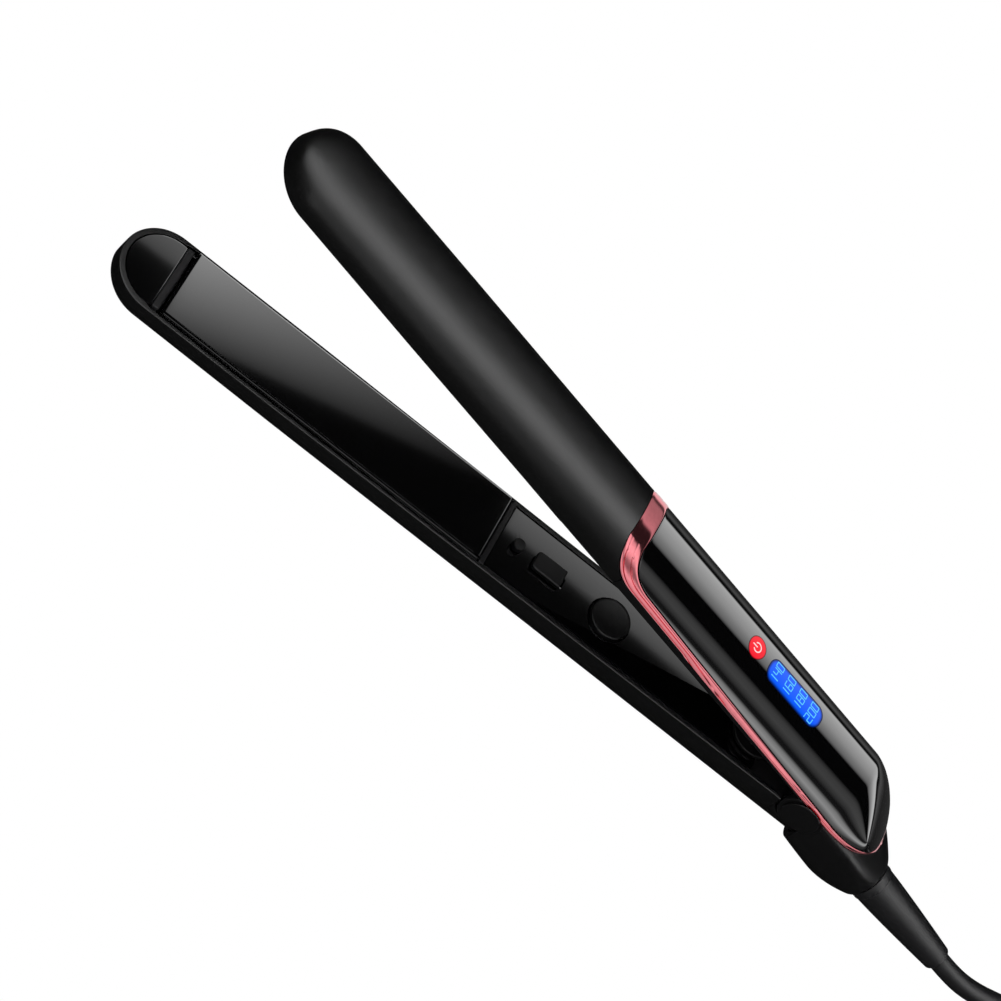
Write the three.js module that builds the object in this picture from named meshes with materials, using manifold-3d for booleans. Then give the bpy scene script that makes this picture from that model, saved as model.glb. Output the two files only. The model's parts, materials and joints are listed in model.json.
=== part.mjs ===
// A flat iron, shown open and lying on its side on a table.
//
// It is modelled closed, in its own frame: X runs back to the cord, Y is the hinge axis, Z runs from the
// lower arm to the upper arm, and the hinge axis passes through the origin. The lower arm is then opened
// about the hinge, and the whole iron is laid on its +Y side. Lengths are millimetres, angles degrees.
import * as THREE from "three";
import { mergeVertices } from "three/addons/utils/BufferGeometryUtils.js";
import Module from "manifold-3d";

const wasm = await Module();
wasm.setup();

// Driving dimensions
const reach = 253; // hinge to the tips
const openAngle = 17.2; // between the arms at rest
const plateWidth = 25;
const sideMargin = 1.5; // from a plate's edge to the side of its arm
const tipHalfWidth = plateWidth / 2 + sideMargin;
const hingeTaper = 1.3; // how much narrower half of an arm is at the hinge
const hingeHalfWidth = tipHalfWidth - hingeTaper;
const wideFrom = 190; // the arms have their full width from here to the tips
const hingeDepth = 17; // rim to back of an arm, at the hinge
const tipDepth = 11.9; // the same at the tips
const sideWall = 2.4; // straight part of an arm's side, below its rounded back
const roundness = 2.4; // exponent of the arms' rounded section
const wall = 1.8; // shells and covers
const lowerRim = 0.6; // height of the lower arm's inner face
const upperRim = 4.4; // height of the upper arm's inner face
const gap = 0.3; // clearance between neighbours

const plateFront = 234; // hinge to the plates' front edge
const plateLength = 114;
const plateRear = plateFront - plateLength;
const plateProud = 1.6; // a plate's face above its arm's inner face
const plateThick = 1.6;
const heaterWidth = plateWidth - 10;
const heaterThick = 2.4;

const pinRadius = 2;
const pinClearance = 0.2;
const earRadius = 7.4;
const earThick = 2;
const capProud = 1.1; // a hinge cap's outer face, which the iron can lie on, above its ear
const earOuter = tipHalfWidth - capProud; // the ears' outer faces, from the middle plane
const earInner = earOuter - earThick;
const capRadius = 6.1;
const barrelRadius = 5.4;
const seamBehindHinge = 3; // the lower arm's shell ends here

const handleFront = plateRear - 11; // hinge to the front of the trim
const handleRear = 27; // the handle's round end, behind the hinge
const trimProud = 0.2;
const trimFrontWidth = 6.5;

const exitRadius = 7.8;
const exitHeight = exitRadius - hingeDepth; // axis of the cord, in the upper arm's frame
const exitX = 37.5; // rear face of the housing
const housingDrop = 2.6; // how far the housing hangs below the hinge's depth
const reliefLength = 36;
const reliefRadius = 6.7;
const cordRadius = 3.25;

const pegPlace = plateRear - 7.8; // hinge to the stop peg
const pegRadius = 1.9;
const knobPlace = pegPlace - 11.2; // slide switch, hinge to its middle
const knobLength = 10.4;
const knobWidth = 6.4;
const knobTravel = 4;
const buttonPlace = knobPlace - 23;
const buttonRadius = 6.5;
const buttonTravel = 0.9;
const springPlace = 23.6;
const cupRadius = 8;
const springRadius = 3.6;
const springWire = 0.9;
const boardThick = 1.4;

const displayFront = 62; // hinge to the front of the display's board
const displayLength = 46;
const displayHeadroom = 5.15; // from the display board's underside to the panel above it

const coilRadius = 35; // middle of the turns
const coilCentre = [163.5, exitHeight - coilRadius]; // on the table, from the hinge
const coilHalfWidth = 9.7;
const coilHeight = 18;
const plugLength = 27;

const finishes = {
  softBlack: { color: 0x1b1b1d, roughness: 0.6, metalness: 0 },
  satinBlack: { color: 0x161618, roughness: 0.45, metalness: 0 },
  pianoBlack: { color: 0x050506, roughness: 0.06, metalness: 0 },
  roseGold: { color: 0xc98286, roughness: 0.22, metalness: 1 },
  ceramicPlate: { color: 0x0c0c0e, roughness: 0.12, metalness: 0.4 },
  steel: { color: 0xb9bcc0, roughness: 0.35, metalness: 1 },
  aluminium: { color: 0xc4c6c8, roughness: 0.4, metalness: 1 },
  heaterCeramic: { color: 0xd9d3c4, roughness: 0.8, metalness: 0 },
  board: { color: 0x1d4a2c, roughness: 0.5, metalness: 0 },
  nylon: { color: 0x2a2a2c, roughness: 0.6, metalness: 0 },
  redLight: { color: 0xe0222c, roughness: 0.3, metalness: 0 },
  blueLight: { color: 0x1f4fff, roughness: 0.3, metalness: 0 },
  cordRubber: { color: 0x111112, roughness: 0.55, metalness: 0 },
  silicone: { color: 0xb9b4ac, roughness: 0.8, metalness: 0 },
  insulationRed: { color: 0x8e1f1f, roughness: 0.6, metalness: 0 },
  insulationBlue: { color: 0x23408f, roughness: 0.6, metalness: 0 },
};

// ---- joining and cutting ----

function solidOf(geometry) {
  const bare = new THREE.BufferGeometry();
  bare.setAttribute("position", geometry.getAttribute("position").clone());
  if (geometry.index) bare.setIndex(geometry.index.clone());
  const merged = mergeVertices(bare, 1e-4);
  const points = merged.attributes.position.array;
  const corners = new Uint32Array(merged.index.array);
  const a = new THREE.Vector3();
  const b = new THREE.Vector3();
  const c = new THREE.Vector3();
  let volume = 0;
  for (let i = 0; i < corners.length; i += 3) {
    a.fromArray(points, 3 * corners[i]);
    b.fromArray(points, 3 * corners[i + 1]);
    c.fromArray(points, 3 * corners[i + 2]);
    volume += a.dot(b.cross(c));
  }
  if (volume < 0) {
    for (let i = 0; i < corners.length; i += 3) {
      [corners[i + 1], corners[i + 2]] = [corners[i + 2], corners[i + 1]];
    }
  }
  return new wasm.Manifold(
    new wasm.Mesh({ numProp: 3, vertProperties: points, triVerts: corners }),
  );
}

function geometryOf(solid) {
  const made = solid.getMesh();
  const geometry = new THREE.BufferGeometry();
  geometry.setAttribute("position", new THREE.BufferAttribute(made.vertProperties, 3));
  geometry.setIndex(new THREE.BufferAttribute(made.triVerts, 1));
  return geometry;
}

function combine(first, others, how) {
  let solid = solidOf(first);
  for (const other of others) solid = solid[how](solidOf(other));
  return geometryOf(solid);
}

const join = (first, ...others) => combine(first, others, "add");
const cut = (first, ...others) => combine(first, others, "subtract");
const meet = (first, ...others) => combine(first, others, "intersect");

// ---- simple shapes ----

function block(x, y, z) {
  const shape = new THREE.BoxGeometry(x[1] - x[0], y[1] - y[0], z[1] - z[0]);
  return shape.translate((x[0] + x[1]) / 2, (y[0] + y[1]) / 2, (z[0] + z[1]) / 2);
}

// A rod along X, Y or Z, from low to high on that axis, through the point given by the two other values.
function rod(axis, radius, low, high, place = [0, 0], sides = 24) {
  const shape = new THREE.CylinderGeometry(radius, radius, high - low, sides);
  const middle = (low + high) / 2;
  if (axis === "x") return shape.rotateZ(Math.PI / 2).translate(middle, place[0], place[1]);
  if (axis === "z") return shape.rotateX(Math.PI / 2).translate(place[0], place[1], middle);
  return shape.translate(place[0], middle, place[1]);
}

// A body of revolution about X: the profile is a list of [distance along X, radius].
function turned(profile, sides = 28) {
  const points = profile.map(([along, radius]) => new THREE.Vector2(radius, along));
  return new THREE.LatheGeometry(points, sides).rotateZ(-Math.PI / 2);
}

// An outline in X and Z, extruded along Y.
function slab(outline, y) {
  const shape = new THREE.ExtrudeGeometry(outline, {
    depth: y[1] - y[0],
    bevelEnabled: false,
    curveSegments: 10,
  });
  return shape.rotateX(Math.PI / 2).translate(0, y[1], 0);
}

function tube(points, radius, sides, steps) {
  const path = new THREE.CatmullRomCurve3(points.map((p) => new THREE.Vector3(...p)));
  const section = new THREE.Shape();
  for (let i = 0; i < sides; i += 1) {
    const turn = (2 * Math.PI * i) / sides;
    const corner = [radius * Math.cos(turn), radius * Math.sin(turn)];
    if (i === 0) section.moveTo(...corner);
    else section.lineTo(...corner);
  }
  return new THREE.ExtrudeGeometry(section, { steps, extrudePath: path });
}

// A closed skin over rings of equal length, with a flat cap on the first and the last.
function loft(rings) {
  const count = rings[0].length;
  const points = rings.flat();
  const faces = [];
  for (let i = 0; i + 1 < rings.length; i += 1) {
    for (let j = 0; j < count; j += 1) {
      const k = (j + 1) % count;
      const [a, b] = [i * count + j, i * count + k];
      faces.push(a, b, b + count, a, b + count, a + count);
    }
  }
  for (const [ring, flip] of [[0, true], [rings.length - 1, false]]) {
    const centre = new THREE.Vector3();
    rings[ring].forEach((p) => centre.addScaledVector(p, 1 / count));
    points.push(centre);
    const last = points.length - 1;
    for (let j = 0; j < count; j += 1) {
      const edge = [ring * count + j, ring * count + ((j + 1) % count)];
      if (flip) edge.reverse();
      faces.push(last, ...edge);
    }
  }
  const geometry = new THREE.BufferGeometry().setFromPoints(points);
  geometry.setIndex(faces);
  return geometry;
}

// ---- the arms' common form ----

const lerp = THREE.MathUtils.lerp;
const power = (value, exponent) => Math.sign(value) * Math.abs(value) ** exponent;

function armHalfWidth(distance) {
  return lerp(hingeHalfWidth, tipHalfWidth, THREE.MathUtils.clamp(distance / wideFrom, 0, 1));
}

function armDepth(distance) {
  return lerp(hingeDepth, tipDepth, distance / reach);
}

// One section of an arm: a rim at height 0 and a rounded back at height depth. reachBelow continues the
// sides past the rim, so that a hollow cut with this form is open there.
function armRing(x, halfWidth, depth, reachBelow) {
  const ring = [new THREE.Vector3(x, -halfWidth, -reachBelow)];
  const side = Math.min(sideWall, depth / 3);
  const steps = 18;
  for (let i = 0; i <= steps; i += 1) {
    const turn = Math.PI * (1 - i / steps);
    const y = halfWidth * power(Math.cos(turn), 2 / roundness);
    const z = side + (depth - side) * power(Math.sin(turn), 2 / roundness);
    ring.push(new THREE.Vector3(x, y, z));
  }
  ring.push(new THREE.Vector3(x, halfWidth, -reachBelow));
  return ring;
}

// The handle's round rear end: how much of the width and of the depth is left at x.
function rearWidth(x) {
  const share = THREE.MathUtils.clamp((x - 4) / (handleRear - 4), 0, 1);
  return Math.sqrt(Math.max(1 - share ** 2.2, 0.004));
}

function rearDepth(x) {
  const share = THREE.MathUtils.clamp((x - 1) / (handleRear - 1), 0, 1);
  return Math.max(1 - share ** 1.45, 0.04);
}

// An arm's form from xRear forward to its round tip, taken in by inset all round.
function armForm(xRear, inset, reachBelow, grow = 0) {
  const rings = [];
  const add = (x, widthShare, depthShare) => {
    const halfWidth = (armHalfWidth(-x) - inset + grow) * widthShare;
    const depth = (armDepth(-x) - inset + grow) * depthShare;
    rings.push(armRing(x, Math.max(halfWidth, 0.3), Math.max(depth, 0.6), reachBelow));
  };
  for (let x = Math.min(xRear, handleRear - inset); x > 1; x -= 3.2) {
    add(x, rearWidth(x), rearDepth(x));
  }
  for (const x of [1, -20, -45, -70, -95, -112, -140, -165, -wideFrom, -215]) {
    if (x <= xRear) add(x, 1, 1);
  }
  const round = tipHalfWidth - inset + grow;
  for (const turn of [0, 18, 34, 48, 60, 70, 78, 85]) {
    const angle = THREE.MathUtils.degToRad(turn);
    const x = -(reach - tipHalfWidth + round * Math.sin(angle));
    add(x, Math.cos(angle), lerp(0.45, 1, Math.cos(angle) ** 0.8));
  }
  return loft(rings);
}

const toUpper = (geometry) => geometry.translate(0, 0, upperRim);
const toLower = (geometry) => geometryOf(solidOf(geometry.scale(1, 1, -1))).translate(0, 0, lowerRim);

// What fits inside an arm's shell with clearance, between two distances and two heights from the rim.
function insideArm(x, z, place) {
  return place(meet(armForm(0, wall + gap, 4), block(x, [-20, 20], z)));
}

// ---- parts of both arms: each is made once per arm by its place function ----

const plateX = [-plateFront, -plateRear];
const plateMiddle = (plateX[0] + plateX[1]) / 2;

// The shell's rim is stepped down round the plate, so that the plate can sink.
function plateRecess() {
  const x = [plateX[0] - 0.4, plateX[1] + 0.4];
  const y = plateWidth / 2 + 0.4;
  return block(x, [-y, y], [-1, 1.2]);
}

function plateTray(place) {
  const x = [plateX[0] + 0.6, plateX[1] - 0.6];
  const outer = meet(armForm(0, wall + gap, 4), block(x, [-20, 20], [1.5, 7.4]));
  const half = plateWidth / 2 - 2;
  const pocket = block([x[0] + 1.4, x[1] - 1.4], [-half, half], [-1, 6.2]);
  return place(cut(outer, pocket));
}

function heatingPlate(place) {
  const outline = new THREE.Shape();
  const half = plateWidth / 2;
  const lift = -plateProud; // the face, below the arm's inner face
  outline.moveTo(-half, lift + plateThick);
  outline.lineTo(-half, lift + 0.7);
  outline.quadraticCurveTo(-half, lift, -half + 0.9, lift);
  outline.lineTo(half - 0.9, lift);
  outline.quadraticCurveTo(half, lift, half, lift + 0.7);
  outline.lineTo(half, lift + plateThick);
  const face = new THREE.ExtrudeGeometry(outline, {
    depth: plateLength,
    bevelEnabled: false,
    curveSegments: 4,
  });
  face.rotateX(Math.PI / 2).rotateZ(Math.PI / 2).translate(plateX[0], 0, 0);
  const railX = [plateX[0] + 4, plateX[1] - 4];
  const inner = heaterWidth / 2 + gap;
  const rails = [-1, 1].map((s) => {
    const y = s > 0 ? [inner, inner + 1.4] : [-inner - 1.4, -inner];
    return block(railX, y, [lift + plateThick - 0.5, 3.6]);
  });
  return place(join(face, ...rails));
}

function heater(place) {
  const z = -plateProud + plateThick + gap;
  const half = heaterWidth / 2;
  return place(block([plateMiddle - 45, plateMiddle + 45], [-half, half], [z, z + heaterThick]));
}

function heaterClamp(place) {
  const z = -plateProud + plateThick + 2 * gap + heaterThick;
  const half = heaterWidth / 2;
  return place(block([plateMiddle - 40, plateMiddle + 40], [-half, half], [z, z + 0.8]));
}

function springPad(offset, place) {
  const pad = block([plateMiddle + offset - 5, plateMiddle + offset + 5], [-4, 4], [4.9, 6.2 - gap]);
  return place(pad);
}

function thermalFuse(place) {
  return place(block([plateMiddle + 47, plateMiddle + 52.5], [-3, 3], [0.5, 3.4]));
}

// ---- lower arm ----

function earRoom() {
  const radius = earRadius + 0.5;
  return [
    rod("y", radius, earInner - 0.4, 20),
    rod("y", radius, -20, -earInner + 0.4),
  ];
}

function lowerOuterShell() {
  const shell = toLower(cut(armForm(seamBehindHinge, 0, 0), armForm(6, wall, 4), plateRecess()));
  const post = (x, y) => rod("z", 2.2, -armDepth(-x) + lowerRim + wall - 0.3, -boardTop(), [x, y], 12);
  const posts = boardPosts().map(([x, y]) => post(x, y));
  const pilot = rod("z", 1.3, -9.8, 0, [-13, 0], 12);
  return cut(join(shell, ...posts, knucklePost()), pilot, ...earRoom());
}

const boardDepth = 7.2; // the control board's face, from the lower arm's inner face
const boardTop = () => boardDepth + boardThick + gap - lowerRim;
const boardX = [-knobPlace - 7, -buttonPlace + 20];
const boardHalf = hingeHalfWidth - wall - gap - 2;
const postOffset = 6; // the posts' distance from the middle plane
const boardPosts = () => [[boardX[0] + 4, postOffset], [boardX[1] - 4, -postOffset]];

function knucklePost() {
  return rod("z", 3, -armDepth(13) + lowerRim + wall - 0.3, -6.2, [-13, 0], 12);
}

function lowerInnerCover() {
  const cover = insideArm([-plateRear + 2, -earRadius - 1.2], [0.05, wall], toLower);
  const slot = block(
    [-knobPlace - 2, -knobPlace + 2 + knobTravel],
    [-1.6, 1.6],
    [lowerRim - 4, lowerRim + 2],
  );
  const through = (radius, x) => rod("z", radius, lowerRim - 4, lowerRim + 2, [-x, 0], 24);
  return cut(
    cover,
    slot,
    through(buttonRadius + gap, buttonPlace),
    through(pegRadius - 0.7 + gap, pegPlace),
    through(cupRadius - 2 + gap, springPlace),
    ...earRoom(),
  );
}

function lowerTipCap() {
  return insideArm([-reach, plateX[0] - 1], [0.05, 2.2], toLower);
}

function lowerKnuckle() {
  const half = earInner - 0.5;
  const barrel = rod("y", barrelRadius, -half, half, [0, 0], 24);
  const web = block([-20, -2], [-half, half], [-5.6, -1.6]);
  const bore = rod("y", pinRadius + pinClearance, -20, 20, [0, 0], 16);
  const springRoom = rod("z", cupRadius - 2 + gap, -9, 9, [-springPlace, 0], 24);
  const screwHole = rod("z", 1.5, -9, 9, [-13, 0], 12);
  return cut(join(barrel, web), bore, springRoom, screwHole);
}

function controlBoard() {
  const z = [lowerRim - boardDepth - boardThick, lowerRim - boardDepth];
  const board = block(boardX, [-boardHalf, boardHalf], z);
  const holes = boardPosts().map(([x, y]) => rod("z", 1.4, -20, 0, [x, y], 12));
  return cut(board, ...holes);
}

// A pan-head screw standing on height z, with its shank going down.
function screw(x, y, z, shankRadius, length) {
  const profile = [
    [0, 0],
    [0, shankRadius],
    [length, shankRadius],
    [length, 2 * shankRadius],
    [length + 1.1, 1.7 * shankRadius],
    [length + 1.3, 0],
  ];
  return turned(profile, 14).rotateY(-Math.PI / 2).translate(x, y, z - length);
}

function slideSwitchBody() {
  const top = lowerRim - boardDepth;
  return block([-knobPlace - 6, -knobPlace + 6], [-3, 3], [top + gap, lowerRim - wall - 1.4]);
}

function slideSwitchKnob() {
  const half = knobWidth / 2;
  const outline = new THREE.Shape();
  outline.moveTo(knobLength / 2, -half);
  outline.lineTo(knobLength / 2, half);
  outline.lineTo(-knobLength / 2 + 1.6, half);
  outline.quadraticCurveTo(-knobLength / 2, half, -knobLength / 2, half - 2);
  outline.lineTo(-knobLength / 2, -half + 2);
  outline.quadraticCurveTo(-knobLength / 2, -half, -knobLength / 2 + 1.6, -half);
  const grip = new THREE.ExtrudeGeometry(outline, {
    depth: 1,
    bevelThickness: 0.4,
    bevelSize: 0.4,
    bevelOffset: -0.4,
    bevelSegments: 2,
    curveSegments: 4,
  });
  grip.translate(-knobPlace, 0, lowerRim + 0.4 + gap);
  const stem = block(
    [-knobPlace - 1.7, -knobPlace + 1.7],
    [-1.2, 1.2],
    [lowerRim - wall - 1.1, lowerRim + 1],
  );
  return join(grip, stem);
}

function tactSwitch() {
  const top = lowerRim - boardDepth;
  const body = block([-buttonPlace - 3, -buttonPlace + 3], [-3, 3], [top + gap, top + 1.8]);
  const plunger = rod("z", 1.6, top + 1.6, top + 2.3, [-buttonPlace, 0], 14);
  return join(body, plunger);
}

function temperatureButton() {
  const low = lowerRim - boardDepth + 2.3 + buttonTravel + gap;
  const profile = [
    [low, 0],
    [low, buttonRadius + 0.7],
    [low + 0.9, buttonRadius + 0.7],
    [low + 0.9, buttonRadius],
    [lowerRim + 1.1, buttonRadius],
    [lowerRim + 1.6, buttonRadius - 0.5],
    [lowerRim + 1.4, buttonRadius - 1.4],
    [lowerRim + 1.2, 0],
  ];
  return turned(profile, 32).rotateY(-Math.PI / 2).translate(-buttonPlace, 0, 0);
}

function stopPeg() {
  const profile = [
    [lowerRim - wall - 1, 0],
    [lowerRim - wall - 1, pegRadius - 0.7],
    [lowerRim + gap, pegRadius - 0.7],
    [lowerRim + gap, pegRadius],
    [lowerRim + 2, pegRadius],
    [lowerRim + 2.5, pegRadius - 0.5],
    [lowerRim + 2.5, 0],
  ];
  return turned(profile, 20).rotateY(-Math.PI / 2).translate(-pegPlace, 0, 0);
}

function springCup() {
  const tubeRadius = cupRadius - 2;
  const floor = lowerRim - 6.6;
  const profile = [
    [floor, 0],
    [floor, tubeRadius],
    [lowerRim + gap, tubeRadius],
    [lowerRim + gap, cupRadius],
    [lowerRim + 1.9, cupRadius],
    [lowerRim + 2.5, cupRadius - 0.6],
    [lowerRim + 2.5, tubeRadius - 1.2],
    [floor + 1.2, tubeRadius - 1.2],
    [floor + 1.2, 0],
  ];
  return turned(profile, 30).rotateY(-Math.PI / 2).translate(-springPlace, 0, 0);
}

class Helix extends THREE.Curve {
  constructor(radius, low, high, turns) {
    super();
    Object.assign(this, { radius, low, high, turns });
  }

  getPoint(share, target = new THREE.Vector3()) {
    const turn = 2 * Math.PI * this.turns * share;
    const x = -springPlace + this.radius * Math.cos(turn);
    return target.set(x, this.radius * Math.sin(turn), lerp(this.low, this.high, share));
  }
}

function openingSpring() {
  const angle = THREE.MathUtils.degToRad(openAngle);
  const faceAbove = upperRim / Math.cos(angle) + (springPlace - springRadius) * Math.tan(angle);
  const low = lowerRim - 5.4 + springWire / 2 + gap;
  const section = new THREE.Shape().absarc(0, 0, springWire / 2, 0, 2 * Math.PI);
  const path = new Helix(springRadius, low, faceAbove - springWire, 6);
  return new THREE.ExtrudeGeometry(section, { steps: 84, curveSegments: 3, extrudePath: path });
}

function innerLead(route) {
  return tube(route, 0.9, 6, 14);
}

// ---- upper arm and rear housing ----

// The trim's outline on the side of the handle, moved out by grow: a raked front edge, a round corner and
// a lower edge that falls towards the rear.
function handleOutline(front, corner, low, grow, rearLow) {
  const outline = new THREE.Shape();
  outline.moveTo(-front - grow - 2.5, 30);
  outline.lineTo(-front - grow + 1.5, upperRim + 13);
  outline.quadraticCurveTo(-corner - grow, low - grow, -corner - grow + 9, low - grow);
  outline.lineTo(handleRear + 6, rearLow - grow);
  outline.lineTo(handleRear + 6, 30);
  outline.closePath();
  return outline;
}

const sideFront = handleFront - 12; // the side shell begins here, below the trim
const trimOutline = (grow) => {
  return handleOutline(handleFront, handleFront - 8.5, upperRim + 3.1, grow, upperRim - 0.4);
};
const panelOutline = (grow) => {
  const front = handleFront - trimFrontWidth;
  return handleOutline(front, front - 7, upperRim + 6.8, grow, upperRim + 1.5);
};

function upperOuterShell() {
  const rear = -sideFront + 9;
  const shell = toUpper(cut(armForm(rear, 0, 0), armForm(rear + 8, wall, 4), plateRecess()));
  const handle = slab(trimOutline(gap), [-20, 20]);
  const belowTrim = block([-sideFront, rear + 18], [-20, 20], [0, upperRim + 4.6]);
  return cut(shell, handle, belowTrim);
}

function handleShell(grow) {
  return toUpper(cut(armForm(handleRear, 0, 0, grow), armForm(handleRear - wall, wall, 4)));
}

function trimFrame() {
  const band = meet(handleShell(trimProud), slab(trimOutline(0), [-20, 20]));
  return cut(band, slab(panelOutline(gap), [-20, 20]));
}

function glossPanel() {
  return meet(handleShell(0), slab(panelOutline(0), [-20, 20]));
}

function upperSideShell() {
  const skin = toUpper(cut(armForm(13, 0, 0), armForm(20, wall, 4)));
  const x = [gap - sideFront, 0];
  const strip = meet(skin, block(x, [-20, 20], [upperRim, upperRim + 4.6]));
  const rear = toUpper(meet(armForm(0, wall - 0.4, 0), block(x, [-20, 20], [0.02, wall])));
  const front = insideArm([-plateRear + 2, -sideFront + 1], [0.02, wall], toUpper);
  return cut(
    join(strip, rear, front),
    slab(trimOutline(gap), [-20, 20]),
    rod("y", barrelRadius + 0.8, -earInner, earInner),
    rod("y", earRadius + gap, earInner - 0.6, 20),
    rod("y", earRadius + gap, -20, -earInner + 0.6),
  );
}

function upperTipCap() {
  return insideArm([-reach, plateX[0] - 1], [0.05, 2.2], toUpper);
}

const displayX = [-displayFront, displayLength - displayFront];
const displayHeight = () => upperRim + armDepth(displayFront) - wall - displayHeadroom;
const displayHalf = hingeHalfWidth - wall - gap - 3.1;
const windowHalf = displayHalf - 3.6;

function displayBoard() {
  const z = displayHeight();
  return block(displayX, [-displayHalf, displayHalf], [z, z + boardThick]);
}

function displayCarrier() {
  const z = [upperRim + wall + gap, displayHeight() - gap];
  const half = displayHalf + 1;
  const frame = block([displayX[0] - 2, displayX[1] + 2], [-half, half], z);
  const hole = block([displayX[0] + 1, displayX[1] - 1], [2 - half, half - 2], [z[0] - 1, z[1] + 1]);
  return cut(frame, hole);
}

function lightWindow(x0, x1, halfWidth) {
  const low = displayHeight() + boardThick + gap;
  const outline = new THREE.Shape();
  const radius = Math.min(halfWidth, (x1 - x0) / 2);
  outline.absarc(x1 - radius, 0, radius, -Math.PI / 2, Math.PI / 2, false);
  outline.absarc(x0 + radius, 0, radius, Math.PI / 2, 1.5 * Math.PI, false);
  const depth = upperRim + armDepth(-x1) - wall - 3 * gap - low;
  const shape = new THREE.ExtrudeGeometry(outline, { depth, bevelEnabled: false, curveSegments: 8 });
  return shape.translate(0, 0, low);
}

function housingRing(x, inset) {
  const share = THREE.MathUtils.clamp((x - 20) / (exitX - 20), 0, 1);
  const bulge = housingDrop * Math.sin((Math.PI / 2) * THREE.MathUtils.clamp(x / 27, 0, 1));
  const halfWidth = lerp(hingeHalfWidth, exitRadius, share ** 1.7) - inset;
  const bottom = lerp(lowerRim - hingeDepth - bulge, exitHeight - exitRadius, share ** 2) + inset;
  const top = lerp(upperRim - gap, exitHeight + exitRadius, share ** 1.3) - inset;
  const middle = lerp(exitHeight + 3, exitHeight, share);
  const ring = [];
  const steps = 32;
  for (let i = 0; i < steps; i += 1) {
    const turn = (2 * Math.PI * i) / steps;
    const rise = Math.sin(turn) > 0;
    const exponent = 2 / (rise ? lerp(9, 2, share ** 0.6) : lerp(roundness, 2, share ** 2));
    const half = rise ? top - middle : middle - bottom;
    const y = halfWidth * power(Math.cos(turn), exponent);
    ring.push(new THREE.Vector3(x, y, middle + half * power(Math.sin(turn), exponent)));
  }
  return ring;
}

function rearHousing() {
  const places = [0, 6, 12, 17, 20, 23, 26, 29, 31.5, 33.5, 35.5, exitX];
  const outer = loft(places.map((x) => housingRing(x, 0)));
  const inner = loft([-2, ...places.slice(1, -2), 34.8].map((x) => housingRing(x, wall)));
  const lowerArmRoom = block([-60, seamBehindHinge + 0.4], [-20, 20], [-40, 40]);
  lowerArmRoom.rotateY(THREE.MathUtils.degToRad(-openAngle));
  const handleRoom = block([-20, 20], [-earInner, earInner], [0, 10]);
  const ears = [
    rod("y", earRadius, earInner, earOuter, [0, 0], 32),
    rod("y", earRadius, -earOuter, -earInner, [0, 0], 32),
  ].map((ear) => cut(ear, slab(trimOutline(gap), [-20, 20])));
  const shell = cut(outer, inner, lowerArmRoom, handleRoom);
  const bores = [
    rod("y", pinRadius + pinClearance, -20, 20, [0, 0], 16),
    rod("x", 6.3, 30, 50, [0, exitHeight], 28),
  ];
  return cut(join(shell, ...ears), ...bores);
}

function hingePin() {
  return rod("y", pinRadius, -earOuter + gap, earOuter - gap, [0, 0], 16);
}

function pivotCap(side) {
  const inner = earOuter + gap;
  const profile = [
    [inner, 0],
    [inner, capRadius],
    [tipHalfWidth - 0.3, capRadius],
    [tipHalfWidth, capRadius - 0.4],
    [tipHalfWidth, 0],
  ];
  return turned(profile, 32).rotateZ(side * Math.PI / 2);
}

function swivelBall() {
  const profile = [
    [30, 0],
    [30, 4.6],
    [31.6, 6.6],
    [33.9, 6.6],
    [34.4, 6],
    [exitX + gap, 6],
    [exitX + gap, 0],
  ];
  return turned(profile).translate(0, 0, exitHeight);
}

function strainRelief() {
  const start = exitX + 2 * gap;
  const profile = [[start, 0], [start, reliefRadius]];
  const ribs = 6;
  for (let i = 0; i < ribs; i += 1) {
    const from = start + 3 + (i * (reliefLength - 7)) / ribs;
    const radius = lerp(reliefRadius, cordRadius + 1, (i + 0.5) / ribs);
    profile.push([from, radius], [from + 2.9, radius - 0.15]);
    profile.push([from + 3, radius - 1], [from + 4.4, radius - 1.1]);
  }
  const end = start + reliefLength;
  profile.push([end, cordRadius + 0.5], [end, 0]);
  return turned(profile, 24).translate(0, 0, exitHeight);
}

// ---- cord, in the table's frame: X and Y on the table, Z its height ----

function cordLead() {
  const exit = exitX + 2 * gap + reliefLength + gap;
  const route = [
    [0, 0, 14],
    [4, 0, 14],
    [9, 0, 13.7],
    [14, 0, 12.8],
    [20, 0, 10.9],
    [26, 0, 8.4],
    [32, 0, 5.9],
    [38, 0, 4.1],
    [44, 0, 3.4],
    [50, 0, 3.25],
    [57.1, 0, 3.25],
  ];
  return tube(route.map(([x, y, z]) => [exit + x, exitHeight + y, z]), cordRadius, 10, 22);
}

function cordCoil() {
  const inner = coilRadius - coilHalfWidth;
  const outer = coilRadius + coilHalfWidth;
  const chamfer = 4;
  const profile = [
    [inner, chamfer],
    [inner + chamfer, 0],
    [outer - chamfer, 0],
    [outer, chamfer],
    [outer, coilHeight - chamfer],
    [outer - chamfer, coilHeight],
    [inner + chamfer, coilHeight],
    [inner, coilHeight - chamfer],
    [inner, chamfer],
  ].map(([radius, height]) => new THREE.Vector2(radius, height));
  const ring = new THREE.LatheGeometry(profile, 40).rotateX(Math.PI / 2);
  return ring.translate(coilCentre[0], coilCentre[1], 0);
}

const plugRadius = 8.4;
const plugPlace = [coilCentre[0] + 22, coilCentre[1] - coilRadius, coilHeight + gap + plugRadius];

function plugBody() {
  const profile = [
    [0, 0],
    [0, cordRadius + 1],
    [9, cordRadius + 2.3],
    [12, plugRadius - 0.4],
    [plugLength - 3, plugRadius],
    [plugLength, plugRadius - 1],
    [plugLength, 0],
  ];
  return turned(profile, 20).rotateZ(Math.PI).translate(...plugPlace);
}

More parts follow.
